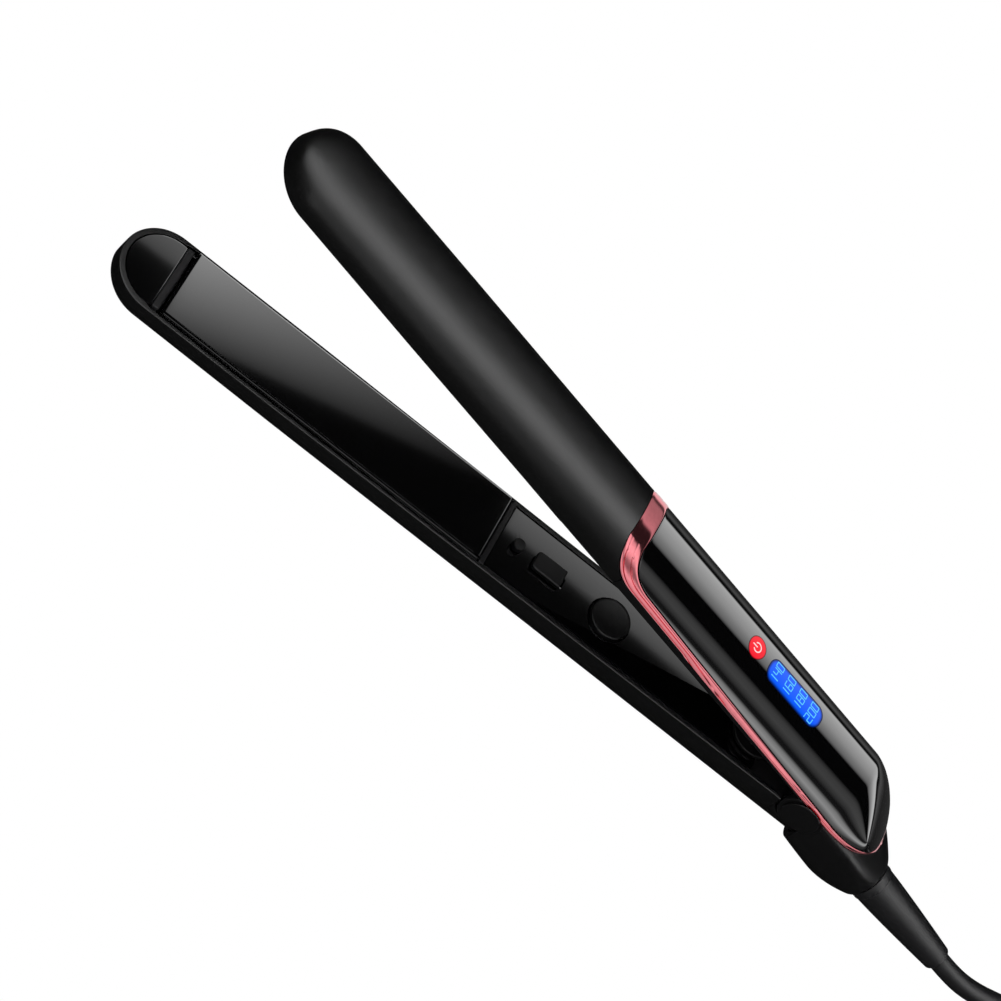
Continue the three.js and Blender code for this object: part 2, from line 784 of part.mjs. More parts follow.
function plugPin(side) {
  const x = plugPlace[0] - plugLength - gap;
  const y = plugPlace[1] + side * 4;
  return rod("x", 2, x - 16, x, [y, plugPlace[2]], 12);
}

// ---- assembly ----

function named(name, finish, geometry) {
  const material = new THREE.MeshStandardMaterial(finishes[finish]);
  const mesh = new THREE.Mesh(geometry, material);
  mesh.name = name;
  return mesh;
}

function lowerArm() {
  const arm = new THREE.Group();
  const top = lowerRim - boardDepth;
  arm.add(
    named("lower_outer_shell", "softBlack", lowerOuterShell()),
    named("lower_inner_cover", "pianoBlack", lowerInnerCover()),
    named("lower_tip_cap", "pianoBlack", lowerTipCap()),
    named("lower_knuckle", "nylon", lowerKnuckle()),
    named("lower_plate_tray", "nylon", plateTray(toLower)),
    named("lower_plate", "ceramicPlate", heatingPlate(toLower)),
    named("lower_heater", "heaterCeramic", heater(toLower)),
    named("lower_heater_clamp", "aluminium", heaterClamp(toLower)),
    named("lower_thermal_fuse", "steel", thermalFuse(toLower)),
    named("lower_spring_pad_front", "silicone", springPad(-32, toLower)),
    named("lower_spring_pad_rear", "silicone", springPad(32, toLower)),
    named("control_board", "board", controlBoard()),
    named("slide_switch_body", "nylon", slideSwitchBody()),
    named("slide_switch_knob", "satinBlack", slideSwitchKnob()),
    named("tact_switch", "nylon", tactSwitch()),
    named("temperature_button", "satinBlack", temperatureButton()),
    named("stop_peg", "satinBlack", stopPeg()),
    named("spring_cup", "satinBlack", springCup()),
    named("opening_spring", "steel", openingSpring()),
    named("knuckle_screw", "steel", screw(-13, 0, -1.6 + gap, 1.2, 8)),
  );
  boardPosts().forEach(([x, y], i) => {
    arm.add(named(`board_screw_${i + 1}`, "steel", screw(x, y, top + gap, 1.1, boardThick + gap)));
  });
  const leadZ = top - boardThick / 2;
  [-1, 1].forEach((side, i) => {
    const y = side * 4.6;
    const route = [
      [boardX[0] - gap, y, leadZ],
      [boardX[0] - 4, y, leadZ],
      [-plateRear + 4.2, y, -4.4],
      [-plateRear, y, -4.2],
    ];
    arm.add(named(`lower_heater_lead_${i + 1}`, "insulationRed", innerLead(route)));
  });
  return arm;
}

function upperArm() {
  const arm = new THREE.Group();
  arm.add(
    named("upper_outer_shell", "softBlack", upperOuterShell()),
    named("upper_side_shell", "satinBlack", upperSideShell()),
    named("trim_frame", "roseGold", trimFrame()),
    named("gloss_panel", "pianoBlack", glossPanel()),
    named("upper_tip_cap", "satinBlack", upperTipCap()),
    named("upper_plate_tray", "nylon", plateTray(toUpper)),
    named("upper_plate", "ceramicPlate", heatingPlate(toUpper)),
    named("upper_heater", "heaterCeramic", heater(toUpper)),
    named("upper_heater_clamp", "aluminium", heaterClamp(toUpper)),
    named("upper_thermal_fuse", "steel", thermalFuse(toUpper)),
    named("upper_spring_pad_front", "silicone", springPad(-32, toUpper)),
    named("upper_spring_pad_rear", "silicone", springPad(32, toUpper)),
    named("display_carrier", "nylon", displayCarrier()),
    named("display_board", "board", displayBoard()),
    named("power_light", "redLight", lightWindow(displayX[0] + 4.8, displayX[0] + 11.6, windowHalf - 0.5)),
    named("level_light", "blueLight", lightWindow(displayX[0] + 15.4, displayX[0] + 40.2, windowHalf)),
    named("rear_housing", "satinBlack", rearHousing()),
    named("hinge_pin", "steel", hingePin()),
    named("pivot_cap_near", "satinBlack", pivotCap(-1)),
    named("pivot_cap_far", "satinBlack", pivotCap(1)),
    named("swivel_ball", "nylon", swivelBall()),
    named("strain_relief", "cordRubber", strainRelief()),
  );
  [-1, 1].forEach((side, i) => {
    const y = side * 4.6;
    const high = displayHeight() + boardThick / 2;
    const route = [
      [displayX[0] - gap, y, high],
      [displayX[0] - 13, y, high - 0.5],
      [-plateRear + 20, y, upperRim + 6],
      [-plateRear, y, upperRim + 5.2],
    ];
    arm.add(named(`upper_heater_lead_${i + 1}`, "insulationRed", innerLead(route)));
  });
  const mains = [["live_lead", "insulationRed", 2.4], ["neutral_lead", "insulationBlue", -2.4]];
  mains.forEach(([name, finish, y]) => {
    const route = [
      [29.7, y, exitHeight],
      [24, y, exitHeight],
      [17, y, -3],
      [12, y, upperRim + 3.1],
      [2, y, upperRim + 6],
      [displayX[1] + 2.5, y, upperRim + 6],
    ];
    arm.add(named(name, finish, innerLead(route)));
  });
  return arm;
}

function cordOnTable() {
  const cord = new THREE.Group();
  cord.add(
    named("cord_lead", "cordRubber", cordLead()),
    named("cord_coil", "cordRubber", cordCoil()),
    named("plug_body", "cordRubber", plugBody()),
    named("plug_pin_left", "steel", plugPin(1)),
    named("plug_pin_right", "steel", plugPin(-1)),
  );
  return cord;
}

function flatIron() {
  const iron = new THREE.Group();
  const lower = lowerArm();
  lower.rotation.y = THREE.MathUtils.degToRad(-openAngle);
  iron.add(upperArm(), lower);
  iron.rotation.x = -Math.PI / 2;
  iron.position.z = tipHalfWidth;

  // The origin is on the table, below the middle of the iron without its cord.
  const whole = new THREE.Group();
  whole.add(iron);
  const box = new THREE.Box3().setFromObject(whole, true);
  whole.add(cordOnTable());
  whole.position.set(-(box.min.x + box.max.x) / 2, -(box.min.y + box.max.y) / 2, -box.min.z);
  return whole;
}

const flatIronGroup = new THREE.Group();
flatIronGroup.add(flatIron());

export default flatIronGroup;
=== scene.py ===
import json
import math

import bmesh
import bpy
import numpy as np
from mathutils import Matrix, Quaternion, Vector


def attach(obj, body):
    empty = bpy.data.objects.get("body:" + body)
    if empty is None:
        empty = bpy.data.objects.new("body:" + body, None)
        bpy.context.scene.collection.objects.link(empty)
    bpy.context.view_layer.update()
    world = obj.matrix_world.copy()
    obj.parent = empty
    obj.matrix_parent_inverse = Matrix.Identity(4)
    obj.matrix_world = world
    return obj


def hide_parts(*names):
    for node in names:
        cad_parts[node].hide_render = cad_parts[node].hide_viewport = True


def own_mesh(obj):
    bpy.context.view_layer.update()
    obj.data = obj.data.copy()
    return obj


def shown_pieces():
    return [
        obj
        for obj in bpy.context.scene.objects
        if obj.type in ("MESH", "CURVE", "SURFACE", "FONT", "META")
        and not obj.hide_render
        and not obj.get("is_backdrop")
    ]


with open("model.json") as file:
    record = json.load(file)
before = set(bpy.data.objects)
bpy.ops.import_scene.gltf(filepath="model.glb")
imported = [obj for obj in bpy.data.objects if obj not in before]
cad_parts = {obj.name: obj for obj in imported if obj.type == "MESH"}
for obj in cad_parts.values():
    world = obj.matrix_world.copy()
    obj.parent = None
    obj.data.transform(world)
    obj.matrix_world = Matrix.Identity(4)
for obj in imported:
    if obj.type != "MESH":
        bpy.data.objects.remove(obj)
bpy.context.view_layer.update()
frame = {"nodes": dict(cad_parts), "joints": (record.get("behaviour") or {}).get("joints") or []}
joints = {joint["name"]: joint for joint in frame["joints"]}
hinge = np.array(joints["arm_hinge"]["pos_m"])
openTurn = math.radians(joints["arm_hinge"]["range_deg"][1])
print("frame loaded:", len(frame["nodes"]), "nodes")

# Lengths of the iron are in millimetres here: x runs back along an arm from the hinge axis, y across it
# towards the table, and h up from the arm's inner face to its back.
iron = dict(
    reach=253.0, tipHalfWidth=14.0, hingeHalfWidth=12.7, wideFrom=190.0,
    hingeDepth=17.0, tipDepth=11.9, sideWall=2.4, roundness=2.4, wall=1.8,
    lowerRim=0.6, upperRim=4.4, gap=0.3, handleRear=27.0,
    plateFront=234.0, plateLength=114.0, plateWidth=25.0,
)
tipCentre = iron["tipHalfWidth"] - iron["reach"]


# Camera and light.

def addObject(name, data):
    made = bpy.data.objects.new(name, data)
    bpy.context.scene.collection.objects.link(made)
    return made


camera = dict(
    aim=(-0.02535, -0.00983, 0.0), distance=1.4884, azimuth=210.51, elevation=36.845,
    roll=150.0, lens=187.4,
)


def makeCamera(values):
    turn = math.radians(values["azimuth"])
    lift = math.radians(values["elevation"])
    back = Vector((math.sin(turn) * math.cos(lift), -math.cos(turn) * math.cos(lift), math.sin(lift)))
    data = bpy.data.cameras.new("camera")
    data.lens = values["lens"]
    data.sensor_width = 36.0
    data.clip_start = 0.05
    data.clip_end = 20.0
    eye = addObject("camera", data)
    eye.location = Vector(values["aim"]) + back * values["distance"]
    eye.rotation_mode = "QUATERNION"
    tilt = Quaternion((0, 0, 1), -math.radians(values["roll"]))
    eye.rotation_quaternion = (-back).to_track_quat("-Z", "Y") @ tilt
    bpy.context.scene.camera = eye


makeCamera(camera)

lights = dict(
    skyColour=(1.0, 1.0, 1.0), skyStrength=0.95, glossStrength=0.008,
    top=dict(place=(0.0, 0.3, 1.2), size=0.8, power=0.8),
)


def softLight(name, place, size, power):
    data = bpy.data.lights.new(name, "AREA")
    data.shape = "SQUARE"
    data.size = size
    data.energy = power
    lamp = addObject(name, data)
    lamp.location = place
    lamp.rotation_mode = "QUATERNION"
    lamp.rotation_quaternion = (-Vector(place)).to_track_quat("-Z", "Y")


def newNode(tree, kind, **values):
    node = tree.nodes.new(kind)
    for key, value in values.items():
        setattr(node, key, value)
    return node


def fill(tree, socket, value):
    # A fixed value is set on the socket, and another node's output is linked to it.
    if isinstance(value, bpy.types.NodeSocket):
        tree.links.new(value, socket)
    else:
        socket.default_value = value


def mathNode(tree, operation, *values, clamp=False):
    node = newNode(tree, "ShaderNodeMath", operation=operation, use_clamp=clamp)
    for socket, value in zip(node.inputs, values):
        fill(tree, socket, value)
    return node.outputs[0]


def mixByRay(tree, rayKind, usual, forRay):
    # One shader for most rays, another for rays of that kind.
    path = newNode(tree, "ShaderNodeLightPath")
    mix = newNode(tree, "ShaderNodeMixShader")
    for socket, value in zip(mix.inputs, (path.outputs[rayKind], usual.outputs[0], forRay.outputs[0])):
        tree.links.new(value, socket)
    return mix.outputs[0]


def makeWorld():
    # White light for diffuse rays and the camera; glossy rays see the rooms below instead.
    world = bpy.data.worlds.new("studio")
    bpy.context.scene.world = world
    world.use_nodes = True
    tree = world.node_tree
    tree.nodes.clear()
    glossSide = newNode(tree, "ShaderNodeBackground")
    glossSide.inputs["Strength"].default_value = lights["glossStrength"]
    plainSide = newNode(tree, "ShaderNodeBackground")
    plainSide.inputs["Color"].default_value = (*lights["skyColour"], 1.0)
    plainSide.inputs["Strength"].default_value = lights["skyStrength"]
    out = newNode(tree, "ShaderNodeOutputWorld")
    tree.links.new(mixByRay(tree, "Is Glossy Ray", plainSide, glossSide), out.inputs["Surface"])


makeWorld()
softLight("top_light", **lights["top"])
bpy.context.scene.view_settings.view_transform = "Standard"
print("camera and lights made")


# Placing and meshing.

def place(points, arm):
    # Arm points (x, y, h) in millimetres to the row frame in metres: the upper arm is level, and the
    # lower one is its mirror image below the hinge, turned open about the hinge axis.
    points = np.asarray(points, float)
    x, y, h = points[..., 0], points[..., 1], points[..., 2]
    if arm == "upper":
        z = iron["upperRim"] + h
    elif arm == "hinge":
        z = h
    else:
        low = iron["lowerRim"] - h
        x, z = (x * math.cos(openTurn) - low * math.sin(openTurn),
                x * math.sin(openTurn) + low * math.cos(openTurn))
    return hinge + np.stack([x, z, -y], axis=-1) / 1000.0


def gridFaces(rows, columns, closeColumns=False, start=0):
    # Faces between neighbouring points of a grid, wrapped round in its second direction if closed.
    index = start + np.arange(rows * columns).reshape(rows, columns)
    nextColumn = np.roll(index, -1, axis=1)
    if not closeColumns:
        index, nextColumn = index[:, :-1], nextColumn[:, :-1]
    faces = np.stack([index[:-1], nextColumn[:-1], nextColumn[1:], index[1:]], axis=-1)
    return faces.reshape(-1, 4).tolist()


def finishPiece(name, body, slotName, vertices, faces, replaced="", sharp=35.0, material=None, glow=None):
    # A mesh piece of one finish, welded, turned outwards and shaded smooth up to the sharp angle.
    mesh = bpy.data.meshes.new(name)
    mesh.from_pydata(np.asarray(vertices).reshape(-1, 3).tolist(), [], faces)
    if glow is not None:
        mesh.attributes.new("glow", "FLOAT", "POINT").data.foreach_set("value", glow.astype(np.float32))
    work = bmesh.new()
    work.from_mesh(mesh)
    bmesh.ops.remove_doubles(work, verts=work.verts, dist=2e-7)
    bmesh.ops.dissolve_degenerate(work, edges=work.edges, dist=1e-7)
    bmesh.ops.recalc_face_normals(work, faces=work.faces)
    work.to_mesh(mesh)
    work.free()
    mesh.polygons.foreach_set("use_smooth", np.ones(len(mesh.polygons), bool))
    mesh.set_sharp_from_angle(angle=math.radians(sharp))
    mesh.materials.append(material or materials[slotName])
    piece = addObject(name, mesh)
    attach(piece, body)
    if replaced:
        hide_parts(replaced)
    return piece


def armPiece(name, arm, body, slotName, shape, replaced="", sharp=35.0):
    # A piece from a shape (vertices and faces) given in arm points.
    vertices, faces = shape
    return finishPiece(name, body, slotName, place(vertices, arm), faces, replaced, sharp)


def ringBody(rings):
    # Closed rings of equal length, one after the other, skinned, with a flat face on both ends.
    count, size = rings.shape[0], rings.shape[1]
    faces = gridFaces(count, size, closeColumns=True)
    faces.append(list(range(size))[::-1])
    faces.append(list(range((count - 1) * size, count * size)))
    return rings.reshape(-1, 3), faces


def turnedBody(profile, sides=64, axis="h", centre=(0.0, 0.0, 0.0)):
    # A profile of (distance along the axis, radius) turned about the axis through centre.
    along, radius = np.asarray(profile, float).T
    turn = np.linspace(0, 2 * math.pi, sides, endpoint=False)
    a = np.broadcast_to(along[:, None], (len(along), sides))
    b = radius[:, None] * np.cos(turn)
    c = radius[:, None] * np.sin(turn)
    order = {"x": (a, b, c), "y": (c, a, b), "h": (b, c, a)}[axis]
    rings = np.stack(order, axis=-1) + np.asarray(centre)
    return ringBody(rings)


def rounded(profile, radius=0.3, steps=4):
    # The profile with each inner corner replaced by a short arc of about that radius.
    points = np.asarray(profile, float)
    made = [points[0]]
    for before, corner, after in zip(points[:-2], points[1:-1], points[2:]):
        toBefore, toAfter = before - corner, after - corner
        lengths = np.linalg.norm(toBefore), np.linalg.norm(toAfter)
        back = min(radius, 0.45 * lengths[0], 0.45 * lengths[1])
        start = corner + toBefore / lengths[0] * back
        end = corner + toAfter / lengths[1] * back
        for share in np.linspace(0, 1, steps):
            made.append((1 - share) ** 2 * start + 2 * share * (1 - share) * corner + share ** 2 * end)
    made.append(points[-1])
    return np.array(made)


# The arms' form.

def armHalfWidth(x):
    # Half the width changes evenly from the hinge forward, and then stays.
    share = np.clip(-x / iron["wideFrom"], 0, 1)
    return iron["hingeHalfWidth"] + (iron["tipHalfWidth"] - iron["hingeHalfWidth"]) * share


def armDepth(x):
    # The depth changes evenly from the hinge to the tip.
    return iron["hingeDepth"] + (iron["tipDepth"] - iron["hingeDepth"]) * (-x / iron["reach"])


def rearShares(x):
    # How much of the width and of the depth the handle's round rear end keeps at x.
    wide = np.clip((x - 4) / (iron["handleRear"] - 4), 0, 1)
    deep = np.clip((x - 1) / (iron["handleRear"] - 1), 0, 1)
    return np.sqrt(np.clip(1 - wide ** 2.2, 0.0, 1)), np.clip(1 - deep ** 1.45, 0.02, 1)


def armPoints(x, tipTurn, s, inset=0.0):
    # Points of an arm's skin, taken in by inset: s is -1 at the rim, 0 where the straight side ends and
    # a quarter turn on the middle of the back. tipTurn goes from 0 to a quarter turn round the tip.
    x, tipTurn, s, inset = np.broadcast_arrays(*(np.asarray(v, float) for v in (x, tipTurn, s, inset)))
    wideShare, deepShare = rearShares(x)
    along = np.where(tipTurn > 0, tipCentre - (iron["tipHalfWidth"] - inset) * np.sin(tipTurn), x)
    half = (armHalfWidth(along) - inset) * np.cos(tipTurn) * wideShare
    nose = 0.45 + 0.55 * np.clip(np.cos(tipTurn), 0, 1) ** 0.8
    depth = (armDepth(along) - inset) * nose * deepShare
    side = np.minimum(iron["sideWall"], depth / 3)
    up = np.clip(s, 0, None)
    bend = 2 / iron["roundness"]
    y = half * np.clip(np.cos(up), 0, 1) ** bend
    h = side * np.clip(s + 1, 0, 1) + (depth - side) * np.clip(np.sin(up), 0, 1) ** bend
    return np.stack([along, y, h], axis=-1)


def sAtHeight(x, h):
    # The section parameter s at which the arm's skin has height h.
    depth = armDepth(x) * rearShares(x)[1]
    side = np.minimum(iron["sideWall"], depth / 3)
    rise = np.clip((h - side) / np.maximum(depth - side, 1e-6), 0, 1)
    return np.where(h < side, np.clip(h / side - 1, -1, 0), np.arcsin(rise ** (iron["roundness"] / 2)))


def outline(front, corner, low, rearLow, grow, rearEnd, steps=(110, 28, 30)):
    # A side outline of the handle as (x, s) from its rear end, forward along its low edge, round the
    # front corner (a quadratic curve) and up the raked front edge to the middle of the back.
    rim = iron["upperRim"]
    frontLow = np.array([-front - grow + 1.5, rim + 13])
    frontHigh = np.array([-front - grow - 2.5, 30.0])
    control = np.array([-corner - grow, low - grow])
    cornerEnd = np.array([-corner - grow + 9, low - grow])
    rear = np.array([iron["handleRear"] + 6, rearLow - grow])
    share = np.linspace(0, 1, steps[0])
    share = share ** 1.8
    lowX = rearEnd + (cornerEnd[0] - rearEnd) * share
    lowZ = cornerEnd[1] + (rear[1] - cornerEnd[1]) * (lowX - cornerEnd[0]) / (rear[0] - cornerEnd[0])
    lowS = sAtHeight(lowX, np.maximum(lowZ - rim, 0))
    t = np.linspace(0, 1, steps[1] + 1)[1:, None]
    curve = (1 - t) ** 2 * cornerEnd + 2 * t * (1 - t) * control + t ** 2 * frontLow
    curveS = sAtHeight(curve[:, 0], curve[:, 1] - rim)
    frontS = np.linspace(curveS[-1], math.pi / 2, steps[2] + 1)[1:]
    frontX = np.full(steps[2], frontLow[0])
    for _ in range(6):
        height = rim + armPoints(frontX, 0, frontS)[:, 2]
        across = frontHigh[0] - frontLow[0]
        frontX = frontLow[0] + across * (height - frontLow[1]) / (frontHigh[1] - frontLow[1])
    return (np.concatenate([lowX, curve[:, 0], frontX]), np.concatenate([lowS, curveS, frontS]))


# Shared surface effects.

def makeGroup(name, amounts, colours=(), extra=()):
    # A node group that changes a colour and a roughness; returns it with its input and output nodes.
    group = bpy.data.node_groups.new(name, "ShaderNodeTree")
    sockets = [("INPUT", "Colour", "Color"), ("INPUT", "Roughness", "Float")]
    sockets += [("INPUT", label, "Color") for label in colours]
    sockets += [("INPUT", label, "Float") for label in amounts]
    sockets += [("OUTPUT", "Colour", "Color"), ("OUTPUT", "Roughness", "Float")]
    sockets += [("OUTPUT", label, "Float") for label in extra]
    for direction, label, kind in sockets:
        group.interface.new_socket(name=label, in_out=direction, socket_type="NodeSocket" + kind)
    return group, group.nodes.new("NodeGroupInput"), group.nodes.new("NodeGroupOutput")


def noiseAt(tree, scale, detail=2.0):
    spot = newNode(tree, "ShaderNodeTexCoord")
    noise = newNode(tree, "ShaderNodeTexNoise")
    noise.inputs["Detail"].default_value = detail
    tree.links.new(spot.outputs["Object"], noise.inputs["Vector"])
    fill(tree, noise.inputs["Scale"], scale)
    return noise.outputs[0]


def blendColour(tree, share, first, second):
    node = newNode(tree, "ShaderNodeMix", data_type="RGBA")
    tree.links.new(share, node.inputs[0])
    fill(tree, node.inputs[6], first)
    fill(tree, node.inputs[7], second)
    return node.outputs[2]


def makeGrain():
    # Fine grain: height and a small colour change from a fine noise, roughness change from a broad one.
    tree, given, made = makeGroup(
        "fine_grain", ["Cells", "Colour Change", "Roughness Change"], extra=["Height"])
    fine = noiseAt(tree, given.outputs["Cells"], 3.0)
    broad = noiseAt(tree, 45.0, 4.0)
    lift = mathNode(tree, "MULTIPLY", mathNode(tree, "SUBTRACT", fine, 0.5), given.outputs["Colour Change"])
    bright = mathNode(tree, "ADD", mathNode(tree, "MULTIPLY", lift, 2.0), 1.0)
    scaled = newNode(tree, "ShaderNodeVectorMath", operation="SCALE")
    tree.links.new(given.outputs["Colour"], scaled.inputs[0])
    tree.links.new(bright, scaled.inputs["Scale"])
    change = mathNode(tree, "MULTIPLY", mathNode(tree, "SUBTRACT", broad, 0.5),
                      given.outputs["Roughness Change"])
    rough = mathNode(tree, "ADD", given.outputs["Roughness"], mathNode(tree, "MULTIPLY", change, 2.0),
                     clamp=True)
    tree.links.new(scaled.outputs[0], made.inputs["Colour"])
    tree.links.new(rough, made.inputs["Roughness"])
    tree.links.new(fine, made.inputs["Height"])
    return tree


def makeDust():
    # Dust: specks where a cell pattern's distance is small, with faint smears from a stretched noise.
    tree, given, made = makeGroup("dust", ["Amount"])
    spot = newNode(tree, "ShaderNodeTexCoord")
    cells = newNode(tree, "ShaderNodeTexVoronoi")
    cells.inputs["Scale"].default_value = 420.0
    tree.links.new(spot.outputs["Object"], cells.inputs["Vector"])
    near = mathNode(tree, "LESS_THAN", cells.outputs["Distance"], 0.055)
    patches = mathNode(tree, "GREATER_THAN", noiseAt(tree, 60.0), 0.55)
    speck = mathNode(tree, "MULTIPLY", mathNode(tree, "MULTIPLY", near, patches), given.outputs["Amount"])
    smear = mathNode(tree, "SUBTRACT", noiseAt(tree, 18.0, 5.0), 0.52, clamp=True)
    film = mathNode(tree, "MULTIPLY", mathNode(tree, "MULTIPLY", smear, 0.08), given.outputs["Amount"])
    mask = mathNode(tree, "ADD", speck, film, clamp=True)
    tree.links.new(blendColour(tree, mask, given.outputs["Colour"], (0.20, 0.19, 0.18, 1.0)),
                   made.inputs["Colour"])
    rough = mathNode(tree, "ADD", given.outputs["Roughness"], mathNode(tree, "MULTIPLY", mask, 0.5),
                     clamp=True)
    tree.links.new(rough, made.inputs["Roughness"])
    return tree


def makeWearAndHighlight():
    # Edge wear and painted edge highlight: edges that stand out, broken up by a noise, take the worn colour
    # and get smoother; where the worn colour is lighter than the finish, it is partly a painted highlight
    # along the edges.
    tree, given, made = makeGroup("edge_wear", ["Amount"], ["Worn Colour"])
    shape = newNode(tree, "ShaderNodeNewGeometry")
    standing = mathNode(tree, "SUBTRACT", shape.outputs["Pointiness"], 0.53, clamp=True)
    edge = mathNode(tree, "MULTIPLY", standing, 9.0, clamp=True)
    broken = mathNode(tree, "MULTIPLY", edge, noiseAt(tree, 700.0, 4.0))
    mask = mathNode(tree, "MULTIPLY", broken, given.outputs["Amount"], clamp=True)
    tree.links.new(blendColour(tree, mask, given.outputs["Colour"], given.outputs["Worn Colour"]),
                   made.inputs["Colour"])
    rough = mathNode(tree, "SUBTRACT", given.outputs["Roughness"], mathNode(tree, "MULTIPLY", mask, 0.15),
                     clamp=True)
    tree.links.new(rough, made.inputs["Roughness"])
    return tree


grainGroup, dustGroup, wearAndHighlightGroup = makeGrain(), makeDust(), makeWearAndHighlight()

# One finish per material slot of the record. Cells are per metre, depth is the grain's in metres.
# The worn colour on standing edges is edge wear, and where it is lighter than the finish it is partly a
# painted edge highlight.
finishes = dict(
    soft_touch_black=dict(colour=(0.0016, 0.0016, 0.0019), roughness=0.36, specular=0.9, cells=5200.0,
                          depth=2.2e-5, dust=0.02, wearAndHighlight=0.08, wornAndHighlight=(0.02, 0.02, 0.02)),
    satin_black=dict(colour=(0.003, 0.003, 0.0034), roughness=0.34, specular=0.6, cells=6500.0,
                     depth=1.2e-5, dust=0.05, wearAndHighlight=0.1, wornAndHighlight=(0.02, 0.02, 0.02)),
    gloss_black=dict(colour=(0.0008, 0.0008, 0.001), roughness=0.02, specular=1.0, coat=0.6, cells=120.0,
                     depth=2e-7, roughnessChange=0.004, dust=0.03, wearAndHighlight=0.0),
    rose_gold=dict(colour=(0.78, 0.23, 0.26), roughness=0.13, metallic=1.0, cells=900.0, depth=1.5e-6,
                   roughnessChange=0.04, dust=0.06, wearAndHighlight=0.3, wornAndHighlight=(0.85, 0.62, 0.60)),
    plate_coating=dict(colour=(0.0006, 0.0006, 0.0008), roughness=0.02, specular=1.0, coat=0.6, cells=150.0,
                       depth=2e-7, roughnessChange=0.004, dust=0.03, wearAndHighlight=0.02),
    steel=dict(colour=(0.55, 0.55, 0.56), roughness=0.28, metallic=1.0, cells=2500.0, depth=6e-6, wearAndHighlight=0.2),
    aluminium=dict(colour=(0.70, 0.71, 0.72), roughness=0.4, metallic=1.0, cells=2500.0, depth=8e-6),
    heater_ceramic=dict(colour=(0.62, 0.58, 0.50), roughness=0.8, cells=1800.0, depth=2e-5),
    circuit_board=dict(colour=(0.02, 0.10, 0.04), roughness=0.45, cells=900.0, depth=1e-5),
    nylon=dict(colour=(0.008, 0.008, 0.009), roughness=0.5, cells=3500.0, depth=1.5e-5, dust=0.05),
    red_light=dict(colour=(0.5, 0.01, 0.02), roughness=0.25, cells=900.0, depth=3e-6),
    blue_light=dict(colour=(0.01, 0.08, 0.7), roughness=0.25, cells=900.0, depth=3e-6),
    cord_rubber=dict(colour=(0.006, 0.006, 0.007), roughness=0.40, specular=0.7, cells=3800.0, depth=1.6e-5,
                     dust=0.08),
    silicone=dict(colour=(0.50, 0.48, 0.44), roughness=0.7, cells=2500.0, depth=2e-5),
    insulation_red=dict(colour=(0.30, 0.015, 0.015), roughness=0.5, cells=2500.0, depth=1e-5),
    insulation_blue=dict(colour=(0.02, 0.06, 0.35), roughness=0.5, cells=2500.0, depth=1e-5),
)


def useGroup(tree, group, **values):
    node = newNode(tree, "ShaderNodeGroup", node_tree=group)
    for label, value in values.items():
        fill(tree, node.inputs[label.replace("_", " ")], value)
    return node


def makeFinish(name, colour, roughness, metallic=0.0, specular=0.5, coat=0.0, cells=3000.0, depth=1e-5,
               colourChange=0.12, roughnessChange=0.05, dust=0.08, wearAndHighlight=0.1, wornAndHighlight=(0.08, 0.08, 0.08),
               glow=None, glowStrength=0.0):
    material = bpy.data.materials.new(name)
    material.use_nodes = True
    tree = material.node_tree
    shader = tree.nodes["Principled BSDF"]
    grain = useGroup(tree, grainGroup, Colour=(*colour, 1.0), Roughness=roughness, Cells=cells,
                     Colour_Change=colourChange, Roughness_Change=roughnessChange)
    # Edge wear with a painted edge highlight: standing edges take the worn colour.
    edges = useGroup(tree, wearAndHighlightGroup, Colour=grain.outputs["Colour"], Roughness=grain.outputs["Roughness"],
                     Worn_Colour=(*wornAndHighlight, 1.0), Amount=wearAndHighlight)
    specks = useGroup(tree, dustGroup, Colour=edges.outputs["Colour"], Roughness=edges.outputs["Roughness"],
                      Amount=dust)
    tree.links.new(specks.outputs["Colour"], shader.inputs["Base Color"])
    tree.links.new(specks.outputs["Roughness"], shader.inputs["Roughness"])
    bump = newNode(tree, "ShaderNodeBump")
    bump.inputs["Strength"].default_value = 1.0
    bump.inputs["Distance"].default_value = depth
    tree.links.new(grain.outputs["Height"], bump.inputs["Height"])
    tree.links.new(bump.outputs["Normal"], shader.inputs["Normal"])
    fixed = {"Metallic": metallic, "Specular IOR Level": specular, "Coat Weight": coat,
             "Coat Roughness": 0.02}
    for label, value in fixed.items():
        shader.inputs[label].default_value = value
    if glow is not None:
        amount = newNode(tree, "ShaderNodeAttribute", attribute_name="glow")
        lit = newNode(tree, "ShaderNodeVectorMath", operation="SCALE")
        fill(tree, lit.inputs[0], glow)
        fill(tree, lit.inputs["Scale"], amount.outputs["Fac"])
        fill(tree, shader.inputs["Emission Color"], lit.outputs[0])
        shader.inputs["Emission Strength"].default_value = glowStrength
    return material


materials = {name: makeFinish(name, **values) for name, values in finishes.items()}
print("materials made:", len(materials))


# Carried-over CAD nodes.

keptNodes = dict(
    gloss_black="lower_inner_cover",
    satin_black="upper_side_shell slide_switch_knob",
    nylon="lower_knuckle lower_plate_tray upper_plate_tray slide_switch_body tact_switch display_carrier "
          "swivel_ball",
    heater_ceramic="lower_heater upper_heater",
    aluminium="lower_heater_clamp upper_heater_clamp",
    steel="lower_thermal_fuse upper_thermal_fuse knuckle_screw board_screw_1 board_screw_2 hinge_pin",
    silicone="lower_spring_pad_front lower_spring_pad_rear upper_spring_pad_front upper_spring_pad_rear",
    circuit_board="control_board display_board",
    red_light="power_light",
    blue_light="level_light",
    insulation_red="lower_heater_lead_1 lower_heater_lead_2 upper_heater_lead_1 upper_heater_lead_2 "
                   "live_lead",
    insulation_blue="neutral_lead",
)
edgeRounding = 0.00022


